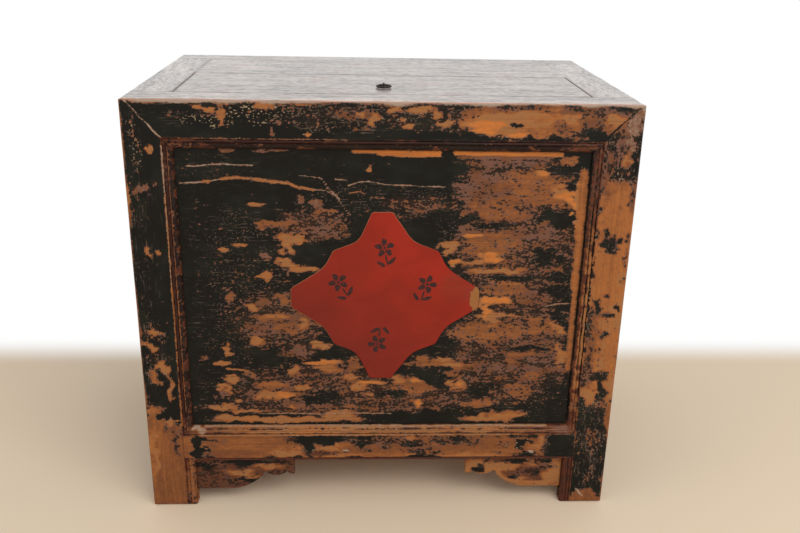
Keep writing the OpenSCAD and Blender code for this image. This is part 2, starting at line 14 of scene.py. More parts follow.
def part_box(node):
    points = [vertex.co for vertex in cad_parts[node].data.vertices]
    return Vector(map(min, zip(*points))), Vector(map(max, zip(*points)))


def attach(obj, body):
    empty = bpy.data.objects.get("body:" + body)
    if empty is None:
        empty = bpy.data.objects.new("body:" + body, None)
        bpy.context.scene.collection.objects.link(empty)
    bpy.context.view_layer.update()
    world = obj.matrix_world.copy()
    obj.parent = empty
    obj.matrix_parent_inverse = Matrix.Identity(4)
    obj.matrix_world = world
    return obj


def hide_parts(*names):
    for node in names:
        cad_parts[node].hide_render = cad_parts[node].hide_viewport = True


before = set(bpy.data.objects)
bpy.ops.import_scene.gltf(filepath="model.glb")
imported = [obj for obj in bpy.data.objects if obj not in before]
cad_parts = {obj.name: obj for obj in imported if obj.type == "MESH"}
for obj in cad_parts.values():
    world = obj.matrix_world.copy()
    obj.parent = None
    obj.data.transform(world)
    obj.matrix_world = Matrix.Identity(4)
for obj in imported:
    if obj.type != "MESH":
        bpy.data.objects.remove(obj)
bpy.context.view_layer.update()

# noise_vector starts from the clock unless it has a seed, and then no two runs look the same
PATTERN_SEED = 5
noise.seed_set(PATTERN_SEED)

MM = 0.001


def box_mm(node):
    low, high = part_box(node)
    return low / MM, high / MM


# Driving sizes, read from the frame

HALF_W = box_mm("post_front_right")[1].x
HALF_D = box_mm("post_back_right")[1].y
HEIGHT = box_mm("top_board_front")[1].z
FIELD_X = box_mm("bracket_right")[1].x
POST_FACE = HALF_W - FIELD_X
FIELD_Y = HALF_D - POST_FACE
FRAME_T = box_mm("top_rail_front")[1].y + HALF_D
RECESS = box_mm("panel_front")[0].y + HALF_D
PANEL_BACK = box_mm("panel_front")[1].y + HALF_D
RAIL_BOTTOM = box_mm("lower_rail_front")[0].z
TONGUE_IN = box_mm("panel_front")[1].x - FIELD_X
RAIL_CREST = box_mm("panel_front")[0].z + TONGUE_IN
HEAD_BOTTOM = box_mm("panel_front")[1].z - TONGUE_IN
TOP_T = HEIGHT - box_mm("top_board_middle")[0].z
OPENING_X = box_mm("top_board_middle")[1].x
OPENING_FRONT = box_mm("top_end_left")[0].y
BACK_BOARD = box_mm("top_board_back")[0].y
LID_BACK = box_mm("top_board_middle")[0].y

# Sizes of the mouldings, the joints and the worn edges

TONGUE_T = 7
GROOVE_IN = TONGUE_IN + 1
GROOVE_D = RECESS + TONGUE_T
THUMB_W, THUMB_D, THUMB_DROP = 10, 9, 0.6
FINE_W, FINE_R, QUIRK_D = 9, 3.3, 2.4
EDGE_W, EDGE_R = 6.5, 2.4
CREST = 0.2
MOULDING_W = THUMB_W + FINE_W
CORNER_R, ARRIS_R, SOLE_R = 4, 5, 6
CHIP_DEPTH, CHIP_SIZE = 3.0, 34
UNEVEN, UNEVEN_SIZE = 0.3, 70
SMOOTH_BELOW, EASED_ABOVE = math.radians(38), math.radians(40)
NEAR_ARRIS = (0.5, 1.1, 1.9, 2.9, 4.1, 5.6, 7.5)
SEAM_EASE, TIGHT_SEAM = 0.8, 0.3

# Steps of the meshes: fine where the photograph shows the face, coarse elsewhere

FINE, COARSE = 3.2, 9.0
FINE_STATION, POST_STATION = 4.0, 10.0
FINE_SCRIBE, COARSE_SCRIBE = 1.6, 4.0
POST_SIDE, INNER = 6.0, 16
PANEL_COLUMN, PANEL_ROW = 3.4, 1.7
TOP_STEP = 6.0
RING_STEPS, WIRE_STEPS = 72, 20

# Each side's own directions: u to the right along it, d into it, z up

SIDES = {
    "front": lambda u, d, z: (u, -HALF_D + d, z),
    "back": lambda u, d, z: (-u, HALF_D - d, z),
    "left": lambda u, d, z: (-HALF_W + d, -u, z),
    "right": lambda u, d, z: (HALF_W - d, u, z),
}
FIELD = {"front": FIELD_X, "back": FIELD_X, "left": FIELD_Y, "right": FIELD_Y}
GRAIN = {"front": "x", "back": "x", "left": "y", "right": "y"}

# The photograph's view, solved from the trunk's own edges: metres and radians

SENSOR_MM, LENS_MM = 36, 39.785
CAMERA_AT = (-0.04402, -1.822914, 1.092148)
PITCH, YAW, ROLL = 0.358131, 0.048820, 0.021573

# Light and floor: metres and watts

AROUND_LIGHT = 0.62
LIT_POINT = (0, 0, 0.4)
SOFTBOXES = (
    # name, place, size, watts
    ("key", (1.4, -2.4, 2.6), (2.4, 1.8), 52),
    ("fill", (-2.2, -1.8, 1.4), (1.6, 1.6), 8),
)
WHITE_FROM, WHITE_FULL = 0.33, 0.5
FLOOR_REACH = 9000


# Camera, light and floor

def make_camera():
    camera = bpy.data.cameras.new("photo_view")
    camera.sensor_fit = "HORIZONTAL"
    camera.sensor_width = SENSOR_MM
    camera.lens = LENS_MM
    level = Vector((math.sin(YAW), math.cos(YAW), 0))
    ahead = math.cos(PITCH) * level - Vector((0, 0, math.sin(PITCH)))
    right = Vector((math.cos(YAW), -math.sin(YAW), 0))
    up = right.cross(ahead)
    rolled_right = math.cos(ROLL) * right + math.sin(ROLL) * up
    rolled_up = math.cos(ROLL) * up - math.sin(ROLL) * right
    turn = Matrix((rolled_right, rolled_up, -ahead)).transposed()
    view = bpy.data.objects.new("photo_view", camera)
    view.matrix_world = Matrix.Translation(CAMERA_AT) @ turn.to_4x4()
    bpy.context.scene.collection.objects.link(view)
    bpy.context.scene.camera = view


def add_softbox(name, place, size, watts):
    light = bpy.data.lights.new(name, "AREA")
    light.shape = "RECTANGLE"
    light.size, light.size_y = size
    light.energy = watts
    lamp = bpy.data.objects.new(name, light)
    lamp.location = place
    lamp.rotation_euler = (Vector(LIT_POINT) - Vector(place)).to_track_quat("-Z", "Y").to_euler()
    bpy.context.scene.collection.objects.link(lamp)


def add_node(tree, kind, inputs=None, **settings):
    """A node with its settings and inputs; an input may be a number, a colour or another output."""
    made = tree.nodes.new(kind)
    for key, value in settings.items():
        setattr(made, key, value)
    for key, value in (inputs or {}).items():
        if isinstance(value, bpy.types.NodeSocket):
            tree.links.new(value, made.inputs[key])
        else:
            made.inputs[key].default_value = value
    return made


def seen_share(tree):
    """1 for what the camera sees, also in a mirror or through glass; 0 for what only gives light."""
    rays = add_node(tree, "ShaderNodeLightPath").outputs
    share = rays["Is Camera Ray"]
    for ray in ("Is Glossy Ray", "Is Transmission Ray"):
        either = add_node(tree, "ShaderNodeMath", {0: share, 1: rays[ray]}, operation="MAXIMUM")
        share = either.outputs[0]
    return share


def make_world():
    """Even grey light from all around, which looks white to the camera."""
    world = bpy.data.worlds.new("pale_surroundings")
    world.use_nodes = True
    tree = world.node_tree
    tree.nodes.clear()
    white = (1, 1, 1, 1)
    lights = [add_node(tree, "ShaderNodeBackground", {"Color": white, "Strength": power}).outputs[0]
              for power in (AROUND_LIGHT, 1.0)]
    mix = add_node(tree, "ShaderNodeMixShader", {0: seen_share(tree), 1: lights[0], 2: lights[1]})
    add_node(tree, "ShaderNodeOutputWorld", {"Surface": mix.outputs[0]})
    bpy.context.scene.world = world


# Shader nodes

# Widens a noise texture's own spread of about 0.3 on either side to about 1
NOISE_SPAN = 3.2


def linear(red, green, blue):
    """A colour as it is read off a screen, from 0 to 255, in Blender's linear values."""
    def part(v):
        v /= 255
        return v / 12.92 if v <= 0.04045 else ((v + 0.055) / 1.055) ** 2.4
    return part(red), part(green), part(blue), 1.0


class Shader:
    """One material, wired in short calls. Values may be numbers, colours or other nodes' outputs."""

    def __init__(self, name, **principled):
        self.material = bpy.data.materials.new(name)
        self.material.use_nodes = True
        self.tree = self.material.node_tree
        self.tree.nodes.clear()
        fixed = {socket.replace("_", " "): value for socket, value in principled.items()}
        self.body = self.node("ShaderNodeBsdfPrincipled", fixed)
        self.out = self.node("ShaderNodeOutputMaterial", {"Surface": self.body.outputs[0]})
        self.place = self.node("ShaderNodeTexCoord").outputs["Object"]

    def node(self, kind, inputs=None, **settings):
        return add_node(self.tree, kind, inputs, **settings)

    def set(self, socket, value):
        self.tree.links.new(value, self.body.inputs[socket])

    def attribute(self, name):
        return self.node("ShaderNodeAttribute", attribute_name=name).outputs["Fac"]

    def math(self, operation, a, b):
        return self.node("ShaderNodeMath", {0: a, 1: b}, operation=operation).outputs[0]

    def add(self, *values):
        total = values[0]
        for value in values[1:]:
            total = self.math("ADD", total, value)
        return total

    def times(self, a, b):
        return self.math("MULTIPLY", a, b)

    def step(self, value, low, high):
        """0 under low, 1 over high, smooth between; a low above the high turns it round."""
        return self.node("ShaderNodeMapRange", {"Value": value, "From Min": low, "From Max": high},
                         interpolation_type="SMOOTHSTEP").outputs["Result"]

    def noise(self, size_mm, detail=3.0, roughness=0.55, distortion=0.0):
        """Noise around 0, mostly within -1 and 1, with blotches of a size in mm along X, Y and Z."""
        scale = [1 / (size * MM) for size in size_mm]
        scaled = self.node("ShaderNodeVectorMath", {0: self.place, 1: scale}, operation="MULTIPLY")
        made = self.node("ShaderNodeTexNoise", {
            "Vector": scaled.outputs[0], "Scale": 1.0, "Detail": detail, "Roughness": roughness,
            "Distortion": distortion})
        centred = self.math("SUBTRACT", made.outputs["Fac"], 0.5)
        return self.times(centred, NOISE_SPAN)

    def mix(self, share, a, b):
        return self.node("ShaderNodeMix", {0: share, 6: a, 7: b},
                         data_type="RGBA", clamp_factor=True).outputs[2]

    def ramp(self, value, stops):
        """A colour ramp with stops of (place, colour)."""
        made = self.node("ShaderNodeValToRGB", {0: value})
        points = made.color_ramp.elements
        while len(points) < len(stops):
            points.new(1.0)
        for point, (place, colour) in zip(points, stops):
            point.position = place
            point.color = colour
        return made.outputs[0]

    def bump(self, height, distance_mm, under=None):
        inputs = {"Strength": 1.0, "Distance": distance_mm * MM, "Height": height}
        if under is not None:
            inputs["Normal"] = under
        return self.node("ShaderNodeBump", inputs).outputs["Normal"]


# Colours read off the photograph

BLACK = linear(17, 16, 13)
BLACK_GREEN = linear(25, 27, 21)
WORN_BLACK = linear(50, 38, 31)
OXBLOOD = linear(66, 28, 22)
MAUVE = linear(120, 86, 74)
UMBER = linear(84, 49, 31)
BROWN = linear(118, 71, 42)
OCHRE = linear(160, 98, 52)
ORANGE = linear(200, 118, 54)
PALE = linear(156, 136, 118)
CREAM = linear(168, 146, 116)
DUST = linear(96, 82, 70)
GOLD = linear(152, 104, 63)
SMOKE = linear(54, 34, 24)


def along(grain, long, across):
    """Blotch sizes in mm that are long along the grain axis."""
    return [long if axis == grain else across for axis in "xyz"]


def lacquer_finish(name, grain):
    """Near-black lacquer that flakes off a red-brown ground and ochre pine.

    The meshes carry how far each place is worn: wear from -1, sound lacquer, to 1, bare wood;
    warm from -1, mauve, to 1, orange; pale for chalky cracks and for the painted highlights along
    the beads' edges; red for the ground in the mouldings.
    """
    s = Shader(name, Specular_IOR_Level=0.16)
    wear, warm = s.attribute("wear"), s.attribute("warm")
    pale, red = s.attribute("pale"), s.attribute("red")
    drift = s.noise(along(grain, 80, 34), 2.0)
    torn = s.noise(along(grain, 22, 11), 1.0, 0.5, 0.5)
    flakes = s.noise(along(grain, 6.0, 4.2), 1.0, 0.6)
    scratches = s.step(s.noise(along(grain, 34, 1.6), 1.0), 0.6, 0.95)
    level = s.add(wear, s.times(drift, 0.12), s.times(torn, 0.42), s.times(flakes, 0.55),
                  s.times(scratches, 0.2))
    bare = s.step(level, -0.03, 0.04)
    grain_lines = s.noise(along(grain, 160, 2.2), 3.0, 0.6, 0.2)
    broad_lines = s.noise(along(grain, 240, 12), 3.0, 0.5, 0.4)
    tone = s.add(s.times(warm, 0.35), s.times(level, 0.15), s.times(grain_lines, 0.12),
                 s.times(broad_lines, 0.13), 0.38)
    wood = s.ramp(tone, [(0.0, UMBER), (0.28, BROWN), (0.58, OCHRE), (0.95, ORANGE)])
    golden = s.times(s.step(warm, 0.18, 0.3), s.step(s.noise(along(grain, 70, 40), 2.0), -1.0, 0.2))
    wood = s.mix(s.times(golden, s.times(s.step(warm, 0.8, 0.5), 0.85)), wood, GOLD)
    ground = s.mix(s.step(s.noise(along(grain, 40, 24), 2.0), -0.6, 0.4), BROWN, MAUVE)
    rim = s.step(level, 0.24, 0.05)
    unworn = s.math("MAXIMUM", rim, s.times(s.step(warm, -0.35, -0.9), 0.75))
    wood = s.mix(s.times(unworn, 0.85), wood, ground)
    wood = s.mix(s.times(s.step(grain_lines, 0.1, 0.7), 0.5), wood, UMBER)
    wood = s.mix(s.times(red, 0.85), wood, OXBLOOD)
    dark = s.mix(s.step(s.noise(along(grain, 60, 40), 2.0), -0.2, 0.8), BLACK, BLACK_GREEN)
    dark = s.mix(s.times(red, 0.7), dark, OXBLOOD)
    dark = s.mix(s.times(s.step(wear, -0.4, 0.1), 0.75), dark, SMOKE)
    dark = s.mix(s.times(s.step(level, -0.3, -0.02), 0.6), dark, WORN_BLACK)
    clusters = s.step(s.noise(along(grain, 46, 26), 2.0), -0.5, 0.4)
    specks = s.step(s.noise(along(grain, 3.8, 3.0), 0.0), 0.46, 0.7)
    specks = s.times(s.times(specks, clusters), s.step(wear, -0.62, -0.4))
    lines = s.step(s.noise(along(grain, 30, 3.0), 1.0), 0.42, 0.7)
    lines = s.times(s.times(lines, s.step(warm, 0.0, -0.5)), s.step(wear, -0.7, -0.4))
    dark = s.mix(s.times(lines, 0.7), dark, DUST)
    dust = s.mix(s.step(warm, -0.45, 0.0), DUST, CREAM)
    dark = s.mix(s.times(specks, s.times(s.step(red, 0.3, 0.1), 0.85)), dark, dust)
    colour = s.mix(bare, dark, wood)
    # pale: chalky cracks, and also the painted highlights along the mouldings' beads
    chalk_and_highlight = s.step(s.add(pale, s.times(flakes, 0.16)), 0.25, 0.75)
    colour = s.mix(chalk_and_highlight, colour, PALE)
    s.set("Base Color", colour)
    s.set("Roughness", s.add(0.42, s.times(bare, 0.16), s.times(flakes, 0.05)))
    relief = s.bump(s.times(bare, -1.0), 0.2)
    relief = s.bump(s.times(grain_lines, s.add(0.25, s.times(bare, 0.75))), 0.12, relief)
    s.set("Normal", relief)
    return s.material


def top_finish(name, grain, shine):
    """Worn brown lacquer, cracked and rubbed, with a soft gloss that dies in cracks and seams."""
    s = Shader(name, Specular_IOR_Level=0.6, Coat_Roughness=0.3, Coat_IOR=2.0)
    wear, matt, rub = s.attribute("wear"), s.attribute("matt"), s.attribute("rub")
    bands = s.noise(along(grain, 240, 34), 3.0, 0.5, 0.3)
    strokes = s.noise(along(grain, 42, 9), 2.0, 0.55, 0.3)
    specks = s.noise(along(grain, 14, 6), 2.0, 0.6)
    grain_lines = s.noise(along(grain, 180, 3.0), 3.0, 0.6, 0.3)
    patches = s.noise((90, 70, 70), 3.0, 0.6)
    level = s.add(wear, s.times(strokes, 0.25), s.times(bands, 0.3), s.times(specks, 0.12))
    colour = s.ramp(s.add(level, s.times(grain_lines, 0.2)), [
        (0.0, linear(52, 40, 32)), (0.3, linear(94, 72, 55)),
        (0.6, linear(130, 104, 82)), (0.95, linear(170, 128, 92)),
    ])
    colour = s.mix(s.times(s.step(patches, 0.1, 0.9), 0.4), colour, linear(168, 118, 96))
    colour = s.mix(matt, colour, linear(84, 62, 52))
    colour = s.mix(rub, colour, linear(184, 126, 100))
    s.set("Base Color", colour)
    s.set("Roughness", s.add(0.36, s.times(strokes, 0.07)))
    cracks = s.step(s.add(s.times(strokes, 0.7), s.times(specks, 0.5)), 0.3, 0.6)
    gloss = s.add(shine, s.times(bands, 0.25), s.times(strokes, 0.75), s.times(specks, 0.8),
                  s.times(cracks, -1.2))
    bare = s.math("SUBTRACT", 1.0, s.math("MAXIMUM", matt, s.times(rub, 0.6)))
    s.set("Coat Weight", s.times(s.math("MAXIMUM", gloss, 0.05), bare))
    relief = s.bump(specks, 0.08, s.bump(strokes, 0.10))
    s.set("Normal", relief)
    s.set("Coat Normal", relief)
    return s.material


def medallion_finish():
    """Satin vermilion with painted shade to the lower left, and painted light and shadow on the rim.
    """
    s = Shader("vermilion_lacquer", Specular_IOR_Level=0.15, Roughness=0.5)
    clouds = s.noise((90, 90, 60), 3.0, 0.5, 0.4)
    fine = s.noise((9, 9, 5), 4.0, 0.6)
    colour = s.mix(s.step(clouds, -0.7, 0.8), linear(140, 37, 24), linear(160, 43, 27))
    colour = s.mix(s.times(s.step(fine, 0.2, 1.0), 0.3), colour, linear(96, 28, 24))
    # Painted shade, darker towards the lower left
    colour = s.mix(s.times(s.attribute("shade"), 0.8), colour, linear(100, 36, 27))
    worn = s.step(s.add(s.attribute("tip"), s.times(clouds, 0.3), s.times(fine, 0.3)), 0.1, 1.0)
    colour = s.mix(s.times(worn, 0.55), colour, linear(108, 56, 40))
    chipped = s.step(s.add(s.attribute("tip"), s.times(fine, 0.5)), 0.95, 1.15)
    colour = s.mix(chipped, colour, linear(150, 98, 56))
    # The rim: a painted highlight where it faces up and left, painted shadow where it faces down and
    # right
    rim = s.mix(s.step(s.add(s.attribute("lit"), s.times(fine, 0.3)), 0.3, 0.9),
                linear(34, 20, 17), linear(170, 120, 84))
    colour = s.mix(s.attribute("rim"), colour, rim)
    s.set("Base Color", colour)
    s.set("Normal", s.bump(s.add(s.times(fine, 0.4), clouds), 0.15))
    return s.material


def ink_finish():
    s = Shader("dark_ink", Specular_IOR_Level=0.3, Roughness=0.5)
    fine = s.noise((4, 4, 4), 3.0, 0.6)
    s.set("Base Color", s.mix(s.step(fine, -0.3, 1.0), linear(40, 21, 21), linear(84, 30, 26)))
    return s.material


def iron_finish():
    s = Shader("black_iron", Specular_IOR_Level=0.5, Metallic=0.7)
    rust = s.noise((5, 5, 5), 4.0, 0.65)
    s.set("Base Color", s.mix(s.step(rust, -0.3, 0.9), linear(44, 42, 40), linear(84, 62, 48)))
    s.set("Roughness", s.add(0.5, s.times(rust, 0.12)))
    s.set("Normal", s.bump(rust, 0.12))
    return s.material


def raw_finish(name, grain):
    """Aged bare pine, for what lies inside."""
    s = Shader(name, Specular_IOR_Level=0.3)
    lines = s.noise(along(grain, 300, 5), 4.0, 0.6, 0.5)
    fine = s.noise(along(grain, 60, 1.2), 3.0, 0.6)
    stains = s.noise((120, 120, 120), 3.0, 0.5)
    tone = s.add(0.5, s.times(lines, 0.3), s.times(fine, 0.16))
    colour = s.ramp(tone, [
        (0.1, linear(120, 82, 50)), (0.5, linear(164, 122, 80)), (0.9, linear(190, 150, 104)),
    ])
    colour = s.mix(s.times(s.step(stains, 0.0, 1.0), 0.35), colour, linear(110, 78, 52))
    s.set("Base Color", colour)
    s.set("Roughness", s.add(0.62, s.times(fine, 0.08)))
    s.set("Normal", s.bump(s.add(lines, fine), 0.12))
    return s.material


def floor_finish():
    """Plain pale floor that runs out to white behind the trunk."""
    s = Shader("pale_floor", Specular_IOR_Level=0.1, Roughness=0.6, Base_Color=linear(236, 215, 188))
    depth = s.node("ShaderNodeSeparateXYZ", {0: s.place}).outputs["Y"]
    share = s.times(s.step(depth, WHITE_FROM, WHITE_FULL), seen_share(s.tree))
    white = s.node("ShaderNodeEmission").outputs[0]
    mix = s.node("ShaderNodeMixShader", {0: share, 1: s.body.outputs[0], 2: white})
    s.tree.links.new(mix.outputs[0], s.out.inputs["Surface"])
    return s.material


# Meshes

def worn_edges(points):
    """Rounds the trunk's outer corners, the arris round its top and the edges of its soles."""
    p = np.array(points, float)
    sign = np.sign(p)
    side = np.stack([HALF_W - abs(p[:, 0]), HALF_D - abs(p[:, 1]), HEIGHT - p[:, 2]], 1)
    chips = np.maximum(0, blotches(p, CHIP_SIZE) - 0.15)

    def round_pair(i, j, radius):
        ei = np.maximum(0, radius - side[:, i])
        ej = np.maximum(0, radius - side[:, j])
        reach = np.hypot(ei, ej)
        outside = reach > radius
        scale = np.where(outside, radius / np.maximum(reach, 1e-9), 1)
        side[:, i] = np.where(outside, radius - ei * scale, side[:, i])
        side[:, j] = np.where(outside, radius - ej * scale, side[:, j])

    round_pair(0, 1, np.full(len(p), CORNER_R))
    round_pair(0, 2, ARRIS_R + CHIP_DEPTH * chips)
    round_pair(1, 2, ARRIS_R + CHIP_DEPTH * chips)
    side[:, 2] = HEIGHT - side[:, 2]
    round_pair(0, 2, np.full(len(p), SOLE_R))
    round_pair(1, 2, np.full(len(p), SOLE_R))
    p[:, 0] = sign[:, 0] * (HALF_W - side[:, 0])
    p[:, 1] = sign[:, 1] * (HALF_D - side[:, 1])
    p[:, 2] = side[:, 2]
    return p


def blotches(points, size_mm, start=(0, 0, 0)):
    """Noise at each point, within -1 and 1, with blotches of a size in mm."""
    return np.array([noise.noise(Vector(q) / size_mm + Vector(start)) for q in points])


def flat_blotches(points, size_x, size_y, layer):
    """Noise at each point that is the same at every height."""
    return np.array([noise.noise(Vector((x / size_x, y / size_y, layer))) for x, y, _ in points])


def hand_made(points):
    """A slight unevenness that neighbouring pieces share."""
    shift = np.array([noise.noise_vector(Vector(q) / UNEVEN_SIZE) for q in points])
    shift[:, 2] *= np.clip(points[:, 2] / 20, 0, 1)
    return points + UNEVEN * shift


def new_mesh(name, points, faces, marks=None):
    """An object from points in mm, with one float attribute for each entry of marks."""
    mesh = bpy.data.meshes.new(name)
    mesh.from_pydata((np.asarray(points) * MM).tolist(), [], faces)
    work = bmesh.new()
    work.from_mesh(mesh)
    bmesh.ops.triangulate(work, faces=[f for f in work.faces if len(f.verts) > 4])
    bmesh.ops.recalc_face_normals(work, faces=work.faces)
    work.to_mesh(mesh)
    work.free()
    return finish_mesh(name, mesh, marks)


def finish_mesh(name, mesh, marks):
    for key, values in (marks or {}).items():
        layer = mesh.attributes.new(key, "FLOAT", "POINT")
        layer.data.foreach_set("value", np.asarray(values, np.float32))
    mesh.polygons.foreach_set("use_smooth", [True] * len(mesh.polygons))
    mesh.set_sharp_from_angle(angle=SMOOTH_BELOW)
    piece = bpy.data.objects.new(name, mesh)
    bpy.context.scene.collection.objects.link(piece)
    return piece


def worn_copy(node, ease_mm, cells_mm, mark):
    """A finer copy of a frame node: its edges eased, its faces cut into cells, its wear marked."""
    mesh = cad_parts[node].data.copy()
    mesh.materials.clear()
    work = bmesh.new()
    work.from_mesh(mesh)
    bmesh.ops.remove_doubles(work, verts=work.verts, dist=1e-6)
    bmesh.ops.dissolve_limit(work, angle_limit=math.radians(1), verts=work.verts, edges=work.edges)
    sharp = [e for e in work.edges
             if len(e.link_faces) == 2 and e.calc_face_angle(0) > EASED_ABOVE]
    bmesh.ops.bevel(work, geom=sharp, offset=ease_mm * MM, segments=2, affect="EDGES", profile=0.5)
    low, high = box_mm(node)
    for axis, cell in enumerate(cells_mm):
        normal = [float(axis == k) for k in range(3)]
        for place in np.arange(low[axis] + cell, high[axis], cell):
            everything = work.verts[:] + work.edges[:] + work.faces[:]
            cut = [place * MM * n for n in normal]
            bmesh.ops.bisect_plane(work, geom=everything, plane_co=cut, plane_no=normal)
    work.to_mesh(mesh)
    work.free()
    spots = np.array([v.co / MM for v in mesh.vertices])
    return finish_mesh("worn_" + node, mesh, mark(spots) if mark else None)


def dress(piece, material, slot, body, *nodes):
    piece.data.materials.append(material)
    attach(piece, body)
    if nodes:
        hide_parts(*nodes)


def spread(a, b, step, close=(0, 0.5, 1.2, 2.5)):
    """Places from a to b, no more than step apart, with some close to both ends."""
    span = b - a
    count = max(1, math.ceil(span / step))
    near = [c for c in close if c < span / 2] + [span - c for c in close if c < span / 2]
    even = [span * i / count for i in range(count + 1)]
    inner = [v for v in even if all(abs(v - n) > 0.35 * step for n in near)]
    return [a + v for v in sorted(set(near + inner))]


def through(*corners, step=14.0):
    """Points along straight runs through corners, at most step apart, without the last corner."""
    points = []
    for p, q in zip(corners, corners[1:]):
        p, q = np.array(p, float), np.array(q, float)
        count = max(1, math.ceil(np.linalg.norm(q - p) / step - 1e-6))
        points += [tuple(p + (q - p) * i / count) for i in range(count)]
    return points


def stretch(stations, low_end, high_end, core):
    """Stations for every outline point: fixed within the core, drawn to each point's own ends."""
    t = np.array(stations, float)[:, None]
    low_core, high_core = core
    out = np.repeat(t, len(high_end), 1)
    high = high_core + (t - high_core) * (high_end[None] - high_core) / (t.max() - high_core)
    out = np.where(t > high_core, high, out)
    low = low_core + (t - low_core) * (low_end[None] - low_core) / (t.min() - low_core)
    return np.where(t < low_core, low, out)


def laid(stations, outline):
    """An outline set at each station: the rings, the points around, and each point's measures."""
    rings, around = len(stations), len(outline)
    return rings, around, np.repeat(stations, around), *np.tile(outline, (rings, 1)).T


def tube_faces(rings, around):
    """Quads of a swept outline, and one cap at each end."""
    faces = []
    for i in range(rings - 1):
        for j in range(around):
            k = (j + 1) % around
            faces.append((i * around + j, i * around + k, (i + 1) * around + k, (i + 1) * around + j))
    faces.append(tuple(range(around)))
    faces.append(tuple((rings - 1) * around + j for j in range(around)))
    return faces


# Moulding profiles, as (distance from the member's inner edge, depth under its face)

def moulding_profile():
    """The thumb bead by the panel, then the fine bead between its two quirks."""
    r = THUMB_D - THUMB_DROP
    turns = np.radians([0, 12, 24, 36, 48, 60, 75, 90])
    thumb = [(r - r * math.cos(a), THUMB_D - r * math.sin(a)) for a in turns]
    thumb.append((THUMB_W, THUMB_DROP))
    centre = THUMB_W + FINE_W / 2
    start = math.degrees(math.asin((FINE_R + CREST - QUIRK_D) / FINE_R))
    turns = np.radians(np.linspace(start, 180 - start, 9))
    fine = [(centre - FINE_R * math.cos(a), FINE_R + CREST - FINE_R * math.sin(a)) for a in turns]
    return thumb + fine + [(MOULDING_W, 0.0)]


def edge_profile():
    """The small bead along a lower edge, from the face round to the underside."""
    turns = np.radians(np.linspace(4.8, 178, 9))
    bead = [(EDGE_R + EDGE_R * math.cos(a), EDGE_R + CREST - EDGE_R * math.sin(a)) for a in turns]
    return [(EDGE_W, 0.0)] + bead


# Wear, painted at places of the front: (middle x, middle z, half width, half height).
# The sketch they were drawn on has its floor, rails and top at these heights.
SKETCH_LINES = (0, 101.5, 177, 731, 812)

COATS = {
    # coat: wear, warm, pale, red
    # The first coat is sound black lacquer; the mouldings also take it as painted shade in their
    # quirks
    "clean": (-0.85, 0.0, 0.0, 0.0),
    "black": (-0.62, -0.6, 0.0, 0.0),
    "dark": (-0.52, -0.6, 0.0, 0.0),
    "specked": (-0.4, -0.6, 0.0, 0.0),
    "faded": (-0.27, -0.4, 0.3, 0.0),
    "starry": (-0.4, 0.0, 0.0, 0.0),
    "lace": (-0.26, -0.4, 0.0, 0.0),
    "mottled": (-0.06, -0.5, 0.0, 0.0),
    "mauve": (0.1, -1.0, 0.0, 0.0),
    "brown": (0.3, -0.15, 0.0, 0.0),
    "ochre": (0.54, 0.3, 0.0, 0.0),
    "bright": (0.85, 0.9, 0.0, 0.0),
    "planed": (0.85, 0.15, 0.0, 0.0),
    "smooth": (0.7, -0.34, 0.0, 0.0),
    # The next coat is a painted highlight: pale tan lines where the beads' edges catch the light
    "sheen": (0.6, 0.45, 0.48, 0.0),
    "chalky": (0.36, -0.6, 0.42, 0.0),
    "umber": (0.1, -0.6, 0.0, 0.55),
    "pink": (0.5, -0.9, 0.3, 0.0),
    "pale": (0.6, 0.0, 0.55, 0.0),
    "hairline": (0.5, -0.3, 0.7, 0.0),
    "chip": (0.6, 0.0, 1.0, 0.0),
    "oxblood": (0.2, 0.0, 0.0, 1.0),
    "dull_red": (-0.4, 0.0, 0.0, 0.75),
    "lacquered": (-0.5, 0.0, 0.0, 0.25),
}

